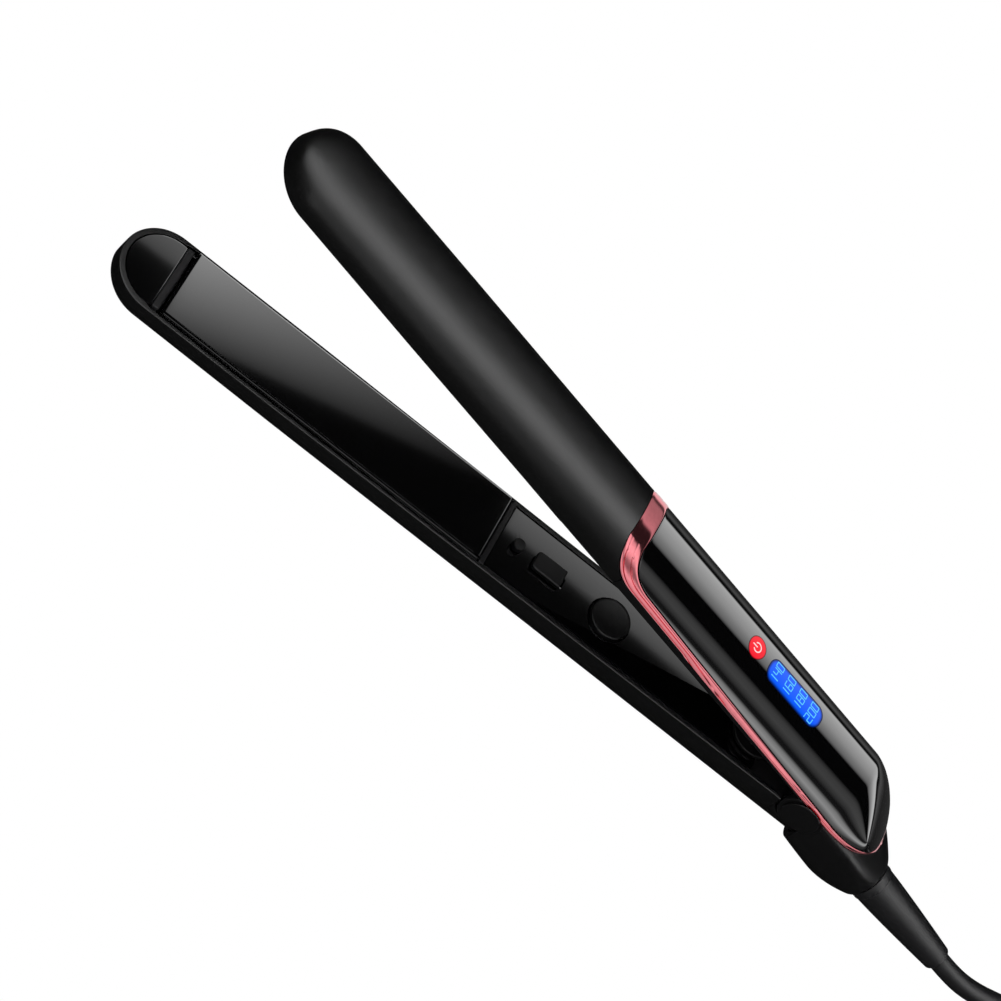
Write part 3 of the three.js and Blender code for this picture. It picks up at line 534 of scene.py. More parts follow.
def dressNode(name, slotName):
    piece = frame["nodes"][name]
    piece.data.materials.clear()
    piece.data.materials.append(materials[slotName])
    if "custom_normal" in piece.data.attributes:
        piece.data.attributes.remove(piece.data.attributes["custom_normal"])
    smooth = slotName != "gloss_black"
    piece.data.polygons.foreach_set("use_smooth", np.full(len(piece.data.polygons), smooth))
    weld = piece.modifiers.new("weld", "WELD")
    weld.merge_threshold = 2e-6
    bevel = piece.modifiers.new("round", "BEVEL")
    bevel.width = edgeRounding
    bevel.segments = 2
    bevel.limit_method = "ANGLE"
    bevel.angle_limit = math.radians(38)
    if smooth:
        piece.modifiers.new("even", "WEIGHTED_NORMAL").keep_sharp = True


for slotName, names in keptNodes.items():
    for nodeName in names.split():
        dressNode(nodeName, slotName)
print("CAD nodes dressed")


# Arm shells.

quarter = math.pi / 2


def arcInset(share, radius):
    # Inset of a quarter-round edge: 0 away from it (share 0), the radius on its rim (share 1).
    share = np.clip(share, 0, 1)
    return radius * (1 - np.sqrt(1 - share ** 2))


def skinBody(outer, inner, path, closed=False):
    # An outer and an inner grid of the same size, joined by a strip along a path of grid numbers.
    rows, columns = outer.shape[:2]
    size = rows * columns
    faces = gridFaces(rows, columns) + gridFaces(rows, columns, start=size)
    ends = (path, np.roll(path, -1)) if closed else (path[:-1], path[1:])
    strip = np.stack([ends[0], ends[1], ends[1] + size, ends[0] + size], axis=-1)
    return np.concatenate([outer.reshape(-1, 3), inner.reshape(-1, 3)]), faces + strip.tolist()


def mirrored(vertices, faces):
    # The body and its mirror image across the arm's middle plane, which weld along y = 0.
    other = vertices * np.array([1.0, -1.0, 1.0])
    count = len(vertices)
    return np.concatenate([vertices, other]), faces + [[i + count for i in face[::-1]] for face in faces]


shells = dict(
    rimRound=0.34, tipRows=30, bodyRows=90, columns=44,
    upperFront=109.0, corner=100.5, low=7.5, rearLow=4.0, sideFront=97.0, seam=3.0, notch=7.9,
    recessWidth=12.9, recessSpare=3.0, recessTop=-0.1,
)


def shellBody(rearX, startS, rowShares):
    # Rows run from the rear edge rearX (one value per column) to the tip and round it; columns run from
    # the rim (startS, one value per row) to the middle of the back.
    w = np.concatenate([[0, 0.006, 0.016, 0.03, 0.05, 0.075], np.linspace(0.11, 1, shells["columns"])])
    tipTurns = np.linspace(0, quarter, shells["tipRows"] + 1)[1:]
    rows = len(rowShares) + len(tipTurns)
    s = startS[:, None] + (quarter - startS[:, None]) * w
    rear = rearX(s[:len(rowShares)])
    x = np.full(s.shape, tipCentre)
    x[:len(rowShares)] = rear + (tipCentre - rear) * rowShares[:, None]
    turn = np.zeros(s.shape)
    turn[len(rowShares):] = tipTurns[:, None]
    edge = arcInset(1 - w / 0.055, shells["rimRound"])
    outer = armPoints(x, turn, s, np.broadcast_to(edge, s.shape))
    fromFront, spare = x + iron["plateFront"], shells["recessSpare"]
    overPlate = (fromFront > -spare) & (fromFront < iron["plateLength"] + spare)
    thinWall = iron["tipHalfWidth"] - shells["recessWidth"]
    thick = np.where(overPlate & (s < shells["recessTop"]) & (turn == 0), thinWall, iron["wall"])
    inner = armPoints(x, turn, s, thick)
    index = np.arange(rows * len(w)).reshape(rows, len(w))
    path = np.concatenate([index[0, ::-1], index[1:, 0]])
    return mirrored(*skinBody(outer, inner, path))


def upperShell():
    edgeX, edgeS = outline(shells["upperFront"], shells["corner"], shells["low"], shells["rearLow"],
                           iron["gap"], -85.0)
    rising = edgeX < -shells["sideFront"]
    order = np.argsort(edgeS[rising])
    curveS, curveX = edgeS[rising][order], edgeX[rising][order]

    def rearX(s):
        return np.where(s < curveS[0], -shells["sideFront"], np.interp(s, curveS, curveX))

    shares = np.linspace(0, 1, shells["bodyRows"])
    start = np.full(len(shares) + shells["tipRows"], -1.0)
    armPiece("upper_shell_skin", "upper", "main_arm", "soft_touch_black", shellBody(rearX, start, shares),
             "upper_outer_shell")


def lowerShell():
    seam, notch = shells["seam"], shells["notch"]
    turn = np.linspace(math.acos(-seam / notch), 0, 30)
    notchX = -notch * np.cos(turn)
    notchS = sAtHeight(notchX, iron["lowerRim"] + notch * np.sin(turn))
    bodyX = np.linspace(-notch - 0.02, tipCentre, shells["bodyRows"])
    x = np.concatenate([notchX, bodyX])
    start = np.concatenate([notchS, np.full(len(bodyX) + shells["tipRows"], -1.0)])
    shares = (x - seam) / (tipCentre - seam)
    shape = shellBody(lambda s: np.full(s.shape, seam), start, shares)
    armPiece("lower_shell_skin", "lower", "lower_arm", "soft_touch_black", shape, "lower_outer_shell")


upperShell()
lowerShell()
print("arm shells made")


# Gloss panel and trim.

panel = dict(front=102.5, corner=95.5, low=11.2, rearLow=5.9, edgeRound=0.24)
trim = dict(front=109.0, corner=100.5, low=7.5, rearLow=4.0, proud=0.2, groove=0.5, panelGap=0.3)


def lowEdge(values, x, grow=0.0):
    # Height of a handle outline's straight lower edge at x.
    start = np.array([-values["corner"] - grow + 9, values["low"] - grow])
    end = np.array([iron["handleRear"] + 6, values["rearLow"] - grow])
    return start[1] + (end[1] - start[1]) * (x - start[0]) / (end[0] - start[0])


def rearEndOf(values, grow):
    # Where the handle's back comes down to the outline's lower edge, behind the hinge.
    x = np.linspace(10, iron["handleRear"], 4000)
    top = iron["upperRim"] + armPoints(x, 0, quarter)[:, 2]
    return float(x[np.argmax(top < lowEdge(values, x, grow))])


def glossPanel():
    end = rearEndOf(panel, 0.0)
    edgeX, edgeS = outline(panel["front"], panel["corner"], panel["low"], panel["rearLow"], 0.0, end)
    edgeS[0] = quarter
    split = 110 + 14
    lowX, lowS = edgeX[:split + 1], edgeS[:split + 1]
    frontX, frontS = edgeX[split:], edgeS[split:]
    lowShare = (lowX - lowX[0]) / (lowX[-1] - lowX[0])
    frontShare = (frontS - frontS[0]) / (quarter - frontS[0])
    u = np.concatenate([lowShare[:-4], 1 - np.array([0.006, 0.002, 0.0012, 0.0006, 0.0002, 0.0])])
    u = np.unique(np.clip(u, 0, 1))
    v = np.concatenate([[0, 0.0015, 0.004, 0.008, 0.013, 0.02], np.linspace(0.035, 1, 46)])

    # Coons patch in (x, s): low edge, back middle, rear point and front edge
    low = np.stack([lowX[0] + (lowX[-1] - lowX[0]) * u, np.interp(u, lowShare, lowS)], -1)[:, None]
    back = np.stack([lowX[0] + (frontX[-1] - lowX[0]) * u, np.full(len(u), quarter)], -1)[:, None]
    rear = np.array([lowX[0], quarter])
    front = np.stack([np.interp(v, frontShare, frontX), np.interp(v, frontShare, frontS)], -1)[None]
    a, b = u[:, None, None], v[None, :, None]
    corners = (1 - a) * rear + a * ((1 - b) * front[:, :1] + b * front[:, -1:])
    grid = (1 - b) * low + b * back + (1 - a) * rear + a * front - corners
    edge = np.maximum(1 - v[None] / 0.013, 1 - (1 - u[:, None]) / 0.002)
    outer = armPoints(grid[..., 0], 0, grid[..., 1], arcInset(edge, panel["edgeRound"]))
    inner = armPoints(np.minimum(grid[..., 0], lowX[0] - 1.6), 0, grid[..., 1], iron["wall"])
    index = np.arange(len(u) * len(v)).reshape(len(u), len(v))
    path = np.concatenate([index[0, ::-1], index[1:, 0], index[-1, 1:]])
    outer[:, -1, 1] = 0.0
    inner[:, -1, 1] = 0.0
    armPiece("gloss_panel_skin", "upper", "main_arm", "gloss_black", mirrored(*skinBody(outer, inner, path)),
             "gloss_panel")


def trimFrame():
    # Rings round the frame's width, from its outer outline to the panel's, swept along the outline.
    gap = trim["panelGap"]
    outX, outS = outline(trim["front"], trim["corner"], trim["low"], trim["rearLow"], 0.0,
                         iron["handleRear"] - 0.001)
    inX, inS = outline(panel["front"], panel["corner"], panel["low"], panel["rearLow"], gap,
                       rearEndOf(panel, gap))
    outS[0] = inS[0] = quarter
    w = np.array([0, 0, 0.02, 0.06, 0.11, 0.15, 0.19, 0.23, 0.30, 0.40, 0.50, 0.56, 0.60, 0.64, 0.68, 0.74,
                  0.82, 0.90, 0.96, 0.985, 1, 1])
    steps = np.arange(len(outX))
    fade = 1 - np.clip((steps - 112) / 26.0, 0, 1) ** 2
    groove = np.clip(1 - np.abs(w - 0.19) / 0.045, 0, 1) + np.clip(1 - np.abs(w - 0.62) / 0.06, 0, 1)
    crown = -trim["proud"] + 0.25 * np.clip(np.abs(w - 0.5) * 2, 0, 1) ** 8
    inset = crown + trim["groove"] * groove * fade[:, None]
    inset[:, 0] = inset[:, -1] = iron["wall"]
    x = outX[:, None] + (inX - outX)[:, None] * w
    s = outS[:, None] + (inS - outS)[:, None] * w
    rings = armPoints(x, 0, s, inset)
    rings[0, :, 1] = rings[-1, :, 1] = 0.0
    faces = gridFaces(len(steps), len(w), closeColumns=True)
    armPiece("trim_frame_skin", "upper", "main_arm", "rose_gold", mirrored(rings.reshape(-1, 3), faces),
             "trim_frame", sharp=28)


glossPanel()
trimFrame()
print("panel and trim made")


# Rear housing, hinge caps, strain relief.

housing = dict(exitX=37.5, exitRadius=7.8, drop=2.6, bore=6.3, earRadius=7.4, earInner=10.9, earOuter=12.9,
               capRadius=6.1, capSeat=13.2, front=3.4, columns=168)
exitHeight = housing["exitRadius"] - iron["hingeDepth"]


def signedPower(value, exponent):
    return np.sign(value) * np.abs(value) ** exponent


def housingPoints(x, turn, inset):
    # A superellipse section that goes from the handle's boxy underside to the round cord exit.
    x, turn, inset = np.broadcast_arrays(x, turn, inset)
    share = np.clip((x - 20) / (housing["exitX"] - 20), 0, 1)
    bulge = housing["drop"] * np.sin(quarter * np.clip(x / 27, 0, 1))
    half = iron["hingeHalfWidth"] + (housing["exitRadius"] - iron["hingeHalfWidth"]) * share ** 1.7 - inset
    low = iron["lowerRim"] - iron["hingeDepth"] - bulge
    low = low + (exitHeight - housing["exitRadius"] - low) * share ** 2 + inset
    high = iron["upperRim"] - iron["gap"]
    high = high + (exitHeight + housing["exitRadius"] - high) * share ** 1.3 - inset
    middle = exitHeight + 3 * (1 - share)
    above = np.sin(turn) > 0
    power = 2 / np.where(above, 9 - 7 * share ** 0.6, 2.4 - 0.4 * share ** 2)
    rise = np.where(above, high - middle, middle - low)
    y = half * signedPower(np.cos(turn), power)
    return np.stack([x, y, middle + rise * signedPower(np.sin(turn), power)], axis=-1)


def rearHousing():
    turn = np.linspace(0, 2 * math.pi, housing["columns"], endpoint=False)
    front = np.full(len(turn), housing["front"])
    for _ in range(8):
        height = housingPoints(front, turn, 0.0)[:, 2]
        front = (housing["front"] - math.sin(openTurn) * height) / math.cos(openTurn)
    outside = np.linspace(0.012, 0.955, 70)
    profile = [(0, 1.8), (0, 0.22), (0.003, 0.07), (0.008, 0)]
    profile += [(share, 0) for share in outside]
    profile += [(0.972, 0.02), (0.985, 0.12), (0.994, 0.3), (0.999, 0.55), (1, 0.85), (1, 1.5)]
    profile += [(0.985, 1.5), (0.9, 1.8), (0.6, 1.8), (0.3, 1.8)]
    share, inset = np.array(profile).T
    x = front + (housing["exitX"] - front) * share[:, None]
    rings = housingPoints(x, turn[None], inset[:, None])
    rings = np.concatenate([rings, rings[:1]])
    faces = gridFaces(len(rings), len(turn), closeColumns=True)
    vertices = rings.reshape(-1, 3)
    for side in (-1, 1):
        profile = rounded([(0, 0.02), (0, 7.4), (2.0, 7.4), (2.0, 0.02)], 0.45, 6)
        along = side * (housing["earInner"] + profile[:, 0])
        ear, earFaces = turnedBody(np.stack([along, profile[:, 1]], -1), 96, "y")
        ear[:, 2] = np.minimum(ear[:, 2], lowEdge(trim, ear[:, 0], iron["gap"]))
        faces += [[i + len(vertices) for i in face] for face in earFaces]
        vertices = np.concatenate([vertices, ear])
    armPiece("rear_housing_skin", "hinge", "main_arm", "satin_black", (vertices, faces), "rear_housing")


def pivotCap(side, name):
    radius, seat = housing["capRadius"], housing["capSeat"]
    r = np.linspace(radius - 0.15, 0.02, 14)
    dome = np.stack([14.0 - 0.42 * (r / radius) ** 2, r], -1)
    profile = np.concatenate([[(seat, 0.02), (seat, radius - 0.12), (seat + 0.12, radius),
                               (13.42, radius), (13.53, radius - 0.05)], dome])
    profile[:, 0] *= side
    armPiece("pivot_cap_" + name + "_skin", "hinge", "main_arm", "satin_black", turnedBody(profile, 96, "y"),
             "pivot_cap_" + name, sharp=50)


relief = dict(start=38.1, length=36.0, radius=6.7, endRadius=4.25)


def strainRelief():
    # A smooth sleeve that narrows towards the cord, with a collar at the housing.
    share = np.linspace(0, 1, 40)
    x = relief["start"] + 3.2 + (relief["length"] - 3.6) * share
    body = relief["radius"] - 0.25 + (relief["endRadius"] - relief["radius"] + 0.25) * share ** 1.25
    start, end = relief["start"], relief["start"] + relief["length"]
    profile = [(start, 0.02), (start, 6.2), (start + 0.2, 6.6), (start + 0.5, 6.7), (start + 2.4, 6.7),
               (start + 2.8, 6.6), (start + 3.0, 6.4), *zip(x, body), (end - 0.1, 4.1), (end, 3.9),
               (end, 0.02)]
    armPiece("strain_relief_skin", "hinge", "cord_swivel", "cord_rubber",
             turnedBody(profile, 80, "x", (0, 0, exitHeight)), "strain_relief")


rearHousing()
pivotCap(-1, "near")
pivotCap(1, "far")
strainRelief()
print("housing and hinge made")


# Plates and tip caps.

plateShape = dict(edgeRound=0.8, cornerRound=0.9, proud=1.6)


def loopOf(x0, x1, half, corner, steps=8):
    # A closed rectangle outline with rounded corners, in x and y.
    turn = np.linspace(0, quarter, steps)
    centres = [(x1 - corner, half - corner), (x0 + corner, half - corner),
               (x0 + corner, corner - half), (x1 - corner, corner - half)]
    sides = [np.stack([cx + corner * np.cos(turn + k * quarter),
                       cy + corner * np.sin(turn + k * quarter)], -1)
             for k, (cx, cy) in enumerate(centres)]
    return np.concatenate(sides)


def levelBody(levels, loopAt):
    # A body with flat ends whose outline at each level (height, inset) is loopAt(inset).
    loops = [(h, loopAt(inset)) for h, inset in levels]
    return ringBody(np.array([np.column_stack([loop, np.full(len(loop), h)]) for h, loop in loops]))


def heatingPlate(arm):
    # A rectangle whose upper edges are quarter rounds.
    x0, x1 = -iron["plateFront"], -iron["plateFront"] + iron["plateLength"]
    half, radius, proud = iron["plateWidth"] / 2, plateShape["edgeRound"], plateShape["proud"]
    levels = [(0.0, 0.25), (-0.12, 0.0)]
    levels += [(-proud + radius * (1 - math.sin(a)), radius * (1 - math.cos(a)))
               for a in np.linspace(0, quarter, 9)]
    levels += [(-proud, radius + 0.08), (-proud, radius + 1.5)]

    def loopAt(inset):
        return loopOf(x0 + inset, x1 - inset, half - inset, max(plateShape["cornerRound"] - inset, 0.15))

    plate = arm + "_plate"
    armPiece(plate + "_skin", arm, plate, "plate_coating", levelBody(levels, loopAt), plate, sharp=50)


def crossBar(name, arm, x0, x1, half, levels):
    # A plain bar across the arm, from x0 to x1.
    shape = levelBody(levels, lambda inset: loopOf(x0 + inset, x1 - inset, half - inset, 0.3, 4))
    armPiece(arm + name, arm, armBodies[arm], "nylon", shape, sharp=50)


tipCap = dict(inset=2.1, front=-234.9, deep=2.2, barLength=2.3)
armBodies = dict(lower="lower_arm", upper="main_arm")


def tipCapBody(arm, slotName):
    # A half disc at the arm's tip, cut straight in front of the plate.
    turn = np.linspace(-quarter, quarter, 60)

    def loopAt(inset):
        radius = iron["tipHalfWidth"] - tipCap["inset"] - inset
        rear = tipCap["front"] - tipCap["barLength"] - inset
        nose = np.stack([tipCentre - radius * np.cos(turn), radius * np.sin(turn)], -1)
        return np.concatenate([nose, [[rear, radius], [rear, -radius]]])

    levels = [(tipCap["deep"], 0.0), (0.2, 0.0), (0.1, 0.04), (0.05, 0.15), (0.05, 0.25), (0.05, 1.2)]
    cap = arm + "_tip_cap"
    armPiece(cap + "_skin", arm, armBodies[arm], slotName, levelBody(levels, loopAt), cap, sharp=50)


plateRear = iron["plateLength"] - iron["plateFront"]
for arm in ("lower", "upper"):
    heatingPlate(arm)
for arm in ("lower", "upper"):
    crossBar("_plate_bar", arm, plateRear + 0.25, plateRear + 0.25 + 1.6, 12.1,
             [(2.0, 0.0), (-0.2, 0.0), (-0.3, 0.12), (-0.3, 0.4)])
for arm, slotName in (("lower", "gloss_black"), ("upper", "satin_black")):
    tipCapBody(arm, slotName)
    crossBar("_tip_bar", arm, tipCap["front"] - tipCap["barLength"] + 0.1, tipCap["front"], 11.8,
             [(2.0, 0.0), (-0.45, 0.0), (-0.6, 0.15), (-0.6, 0.5)])
print("plates and tips made")


# Button, peg, spring cup and spring.

controls = dict(button=-78.0, peg=-112.2, spring=-23.6, coilRadius=3.6, wire=0.9, turns=6.0,
                springLow=-4.05, springHigh=9.9)


def turnedPiece(replaced, profile, x, body, sides=96, sharp=38):
    armPiece(replaced + "_skin", "lower", body, "satin_black", turnedBody(profile, sides, "h", (x, 0.0, 0.0)),
             replaced, sharp)


dish = [(-1.62, 5.7), (-1.58, 5.2), (-1.5, 4.6), (-1.36, 3.6), (-1.26, 2.4), (-1.2, 1.2), (-1.18, 0.02)]
turnedPiece("temperature_button",
            [(3.7, 0.02), (3.7, 7.2), (2.8, 7.2), (2.8, 6.5), (-1.0, 6.5), (-1.25, 6.45), (-1.45, 6.3),
             (-1.58, 6.05), *dish],
            controls["button"], "button")
turnedPiece("stop_peg",
            rounded([(2.8, 0.02), (2.8, 1.2), (-0.3, 1.2), (-0.3, 1.9), (-2.5, 1.9), (-2.5, 0.02)], 0.4, 5),
            controls["peg"], "lower_arm", 48)
turnedPiece("spring_cup",
            rounded([(6.6, 0.02), (6.6, 6.0), (-0.3, 6.0), (-0.3, 8.0), (-1.9, 8.0), (-1.9, 4.8), (5.4, 4.8),
                     (5.4, 0.02)], 0.5, 6),
            controls["spring"], "lower_arm")


def openingSpring():
    # A round wire swept along a helix: rings of the wire's section, turned to the helix's direction.
    share = np.linspace(0, 1, 260)
    turn = 2 * math.pi * controls["turns"] * share
    radius = controls["coilRadius"]
    low, high = controls["springLow"], controls["springHigh"]
    centre = np.stack([controls["spring"] + radius * np.cos(turn), radius * np.sin(turn),
                       iron["lowerRim"] - (low + (high - low) * share)], -1)
    heading = np.gradient(centre, axis=0)
    heading /= np.linalg.norm(heading, axis=1, keepdims=True)
    outward = np.stack([np.cos(turn), np.sin(turn), np.zeros(len(turn))], -1)
    across = np.cross(heading, outward)
    around = np.linspace(0, 2 * math.pi, 14, endpoint=False)[None, :, None]
    rings = centre[:, None] + controls["wire"] / 2 * (
        outward[:, None] * np.cos(around) + across[:, None] * np.sin(around))
    wire = armPiece("opening_spring_wire", "lower", "lower_arm", "steel", ringBody(rings), "opening_spring",
                    sharp=60)
    foot = place((controls["spring"], 0.0, iron["lowerRim"] - low), "lower")
    head = place((controls["spring"], 0.0, iron["lowerRim"] - high), "lower")
    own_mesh(wire)


openingSpring()
print("controls made")


# Lit display under the panel.

display = dict(powerX=-54.2, powerY=-1.8, powerRadius=3.2, levelX=(-47.4, -24.2), levelHalf=3.1,
               levelY=-2.4, textX=(-44.3, -38.8, -33.3, -27.8), digitHeight=3.0, digitWidth=1.5,
               digitPitch=2.15, stroke=0.30)
litFinish = dict(finishes["gloss_black"], wearAndHighlight=0.0, dust=0.0, coat=0.0, specular=0.12)
redGlow = makeFinish("red_glow", **dict(litFinish, glow=(1.0, 0.012, 0.03), glowStrength=0.95))
blueGlow = makeFinish("blue_glow", **dict(litFinish, glow=(0.004, 0.11, 1.0), glowStrength=1.0))
redMark = makeFinish("red_mark", **dict(litFinish, glow=(1.0, 0.75, 0.75), glowStrength=1.0))
blueMark = makeFinish("blue_mark", **dict(litFinish, glow=(0.10, 0.55, 1.0), glowStrength=1.1))


def onBack(points, inset):
    # Points (x, y) laid on the upper arm's back: the section parameter follows from y.
    x, y = points[..., 0], points[..., 1]
    half = armHalfWidth(x)
    s = np.arccos(np.clip((np.abs(y) / half) ** (iron["roundness"] / 2), 0, 1))
    skin = armPoints(x, 0, s, inset)
    return np.stack([x, y, skin[..., 2]], axis=-1)


def decal(name, patches, values, material, slotName, high):
    # Thin lit patches just above the panel: each a grid of (x, y), closed underneath.
    vertices, faces, glow = [], [], []
    for patch, value in zip(patches, values):
        rows, columns = patch.shape[:2]
        index = np.arange(rows * columns).reshape(rows, columns)
        border = np.concatenate([index[0], index[1:, -1], index[-1, -2::-1], index[-2:0:-1, 0]])
        body, bodyFaces = skinBody(onBack(patch, -high), onBack(patch, 0.01 - high / 2), border, closed=True)
        start = sum(len(v) for v in vertices)
        faces += [[i + start for i in face] for face in bodyFaces]
        vertices.append(body)
        glow.append(np.concatenate([value.ravel(), value.ravel()]))
    finishPiece(name, "main_arm", slotName, place(np.concatenate(vertices), "upper"), faces, sharp=60,
                material=material, glow=np.concatenate(glow))


def glowPatch(centreX, centreY, halfX, halfY, corner, soft):
    # A grid over a rounded rectangle, and how lit each point is: full inside, fading over soft.
    # The grid's own corners are rounded too, so nothing unlit is left round it.
    bend = corner + soft / 2
    u = np.linspace(-halfX - soft / 2, halfX + soft / 2, 90)
    v = np.linspace(-halfY - soft / 2, halfY + soft / 2, 40)
    u, v = np.meshgrid(u, v, indexing="ij")
    p = np.clip((np.abs(u) - halfX + corner) / bend, 0, 1)
    q = np.clip((np.abs(v) - halfY + corner) / bend, 0, 1)
    u = u - np.sign(u) * bend * p * (1 - np.sqrt(1 - q * q / 2))
    v = v - np.sign(v) * bend * q * (1 - np.sqrt(1 - p * p / 2))
    outX = np.maximum(np.abs(u) - halfX + corner, 0)
    outY = np.maximum(np.abs(v) - halfY + corner, 0)
    outside = np.hypot(outX, outY) - corner
    lit = np.clip(0.5 - outside / soft, 0, 1)
    return np.stack([centreX + u, centreY + v], -1), lit * lit * (3 - 2 * lit)


segmentsOf = {"0": "abcdef", "1": "bc", "2": "abged", "4": "fgbc", "6": "afgedc", "8": "abcdefg"}


def bar(x0, y0, x1, y1, width):
    # A straight stroke from one point to another as a small grid with square ends.
    start, end = np.array([x0, y0]), np.array([x1, y1])
    along = (end - start) / np.linalg.norm(end - start)
    side = np.array([-along[1], along[0]]) * width / 2
    return np.array([[p + side * k for k in (-1, 0, 1)]
                     for p in (start + (end - start) * t for t in np.linspace(0, 1, 5))])


def digitBars(text, centreX, centreY):
    # Strokes of a number: read along +y, its tops towards the tips (-x).
    tall, wide, pitch = display["digitHeight"], display["digitWidth"], display["digitPitch"]
    strokes = []
    for number, sign in enumerate(text):
        y = centreY + (number - 1) * pitch
        left, right, top, foot = y - wide / 2, y + wide / 2, centreX - tall / 2, centreX + tall / 2
        if sign == "1":
            left = right = y + wide / 4
        lines = dict(a=(top, left, top, right), b=(top, right, centreX, right),
                     c=(centreX, right, foot, right), d=(foot, left, foot, right),
                     e=(centreX, left, foot, left), f=(top, left, centreX, left),
                     g=(centreX, left, centreX, right))
        strokes += [bar(*lines[key], display["stroke"]) for key in segmentsOf[sign]]
    return strokes


def makeDisplay():
    values = display
    disc, lit = glowPatch(values["powerX"], values["powerY"], values["powerRadius"], values["powerRadius"],
                          values["powerRadius"], 0.5)
    decal("power_glow", [disc], [lit], redGlow, "red_light", 0.03)
    length = (values["levelX"][1] - values["levelX"][0]) / 2
    middle = sum(values["levelX"]) / 2
    pill, lit = glowPatch(middle, values["levelY"], length, values["levelHalf"], 2.6, 1.3)
    decal("level_glow", [pill], [lit], blueGlow, "blue_light", 0.03)

    # the power mark: a ring that is open towards the tips, with a stroke through the opening
    turn = np.linspace(math.radians(40), math.radians(320), 40)
    ring = np.stack([values["powerX"] - 1.55 * np.cos(turn), values["powerY"] + 1.55 * np.sin(turn)], -1)
    inner = np.stack([values["powerX"] - 1.2 * np.cos(turn), values["powerY"] + 1.2 * np.sin(turn)], -1)
    stroke = bar(values["powerX"] - 2.0, values["powerY"], values["powerX"] - 0.1, values["powerY"], 0.36)
    marks = [np.stack([ring, inner], 1), stroke]
    decal("power_mark", marks, [np.ones(m.shape[:2]) for m in marks], redMark, "red_light", 0.06)
    bars = [b for text, x in zip(("140", "160", "180", "200"), values["textX"])
            for b in digitBars(text, x, values["levelY"])]
    decal("level_numbers", bars, [np.ones(b.shape[:2]) for b in bars], blueMark, "blue_light", 0.06)


makeDisplay()
print("display made")


# Cord and plug.

cordValues = dict(
    diameter=6.5, length=1.8, exitX=74.4, coilRadius=35.0, coilX=163.5, outer=42.2, inner=27.0, pitch=6.5,
    startTurn=75.0, riseTurn=110.0, endTurn=55.0, rounds=7,
)
# listed points (x from the sleeve's end, y across, height) from the sleeve to the coil
leadPoints = [
    (0, 0, 14), (4, 0, 14), (9, 0, 13.7), (14, 0, 12.8), (20, 0, 10.9), (26, 0, 8.4), (32, 0, 5.9),
    (38, 0, 4.1), (44, 0, 3.4), (50, 0, 3.25), (57.1, 0, 3.25),
]
# the same from the coil's last turn to the plug, from the coil's centre
tailPoints = [
    (27.2, 18.0, 23.5), (36.9, 12.0, 24.2), (43.3, 5.9, 24.7), (47.6, -4.5, 25.3), (47.1, -15.7, 25.9),
    (41.9, -25.7, 26.6), (33.0, -32.6, 27.4), (22.0, -35.0, 27.9), (15.0, -35.0, 27.9),
]


def tablePoints(points):
    points = np.asarray(points, float)
    return np.stack([hinge[0] + points[..., 0] / 1000, hinge[1] + points[..., 1] / 1000,
                     points[..., 2] / 1000], axis=-1)


def coilPoints():
    # Clockwise turns in three layers: in, out and in again by one pitch each turn, rising between layers.
    v = cordValues
    layerTurn = 360 * (v["outer"] - v["inner"]) / v["pitch"]
    rise = v["riseTurn"]
    total = 360 * v["rounds"] + v["startTurn"] - v["endTurn"]
    marks = [0, layerTurn, layerTurn + rise, 2 * layerTurn + rise, 2 * layerTurn + 2 * rise,
             3 * layerTurn + 2 * rise]
    turn = np.arange(0, total, 4.0)
    radius = np.interp(turn, marks, [v["outer"], v["inner"], v["inner"], v["outer"], v["outer"], v["inner"]])
    levels = [0, layerTurn, layerTurn + rise, 2 * layerTurn + rise, 2 * layerTurn + 2 * rise, total - rise,
              total]
    height = np.interp(turn, levels, [0, 0, 1, 1, 2, 2, 3])
    height = np.floor(height) + (height % 1) ** 2 * (3 - 2 * (height % 1))
    angle = np.radians(v["startTurn"] - turn)
    return np.stack([radius * np.cos(angle), radius * np.sin(angle),
                     v["diameter"] / 2 + v["pitch"] * height], -1)


def smoothThrough(points, step=2.0):
    # A Catmull-Rom curve through the points, with a point about every step millimetres.
    points = np.asarray(points, float)
    padded = np.concatenate([2 * points[:1] - points[1:2], points, 2 * points[-1:] - points[-2:-1]])
    made = []
    for p0, p1, p2, p3 in zip(padded[:-3], padded[1:-2], padded[2:-1], padded[3:]):
        count = max(1, int(np.ceil(np.linalg.norm(p2 - p1) / step)))
        t = (np.arange(count) / count)[:, None]
        made.append(0.5 * (2 * p1 + (p2 - p0) * t + (2 * p0 - 5 * p1 + 4 * p2 - p3) * t ** 2
                           + (3 * p1 - p0 - 3 * p2 + p3) * t ** 3))
    return np.concatenate(made + [points[-1:]])


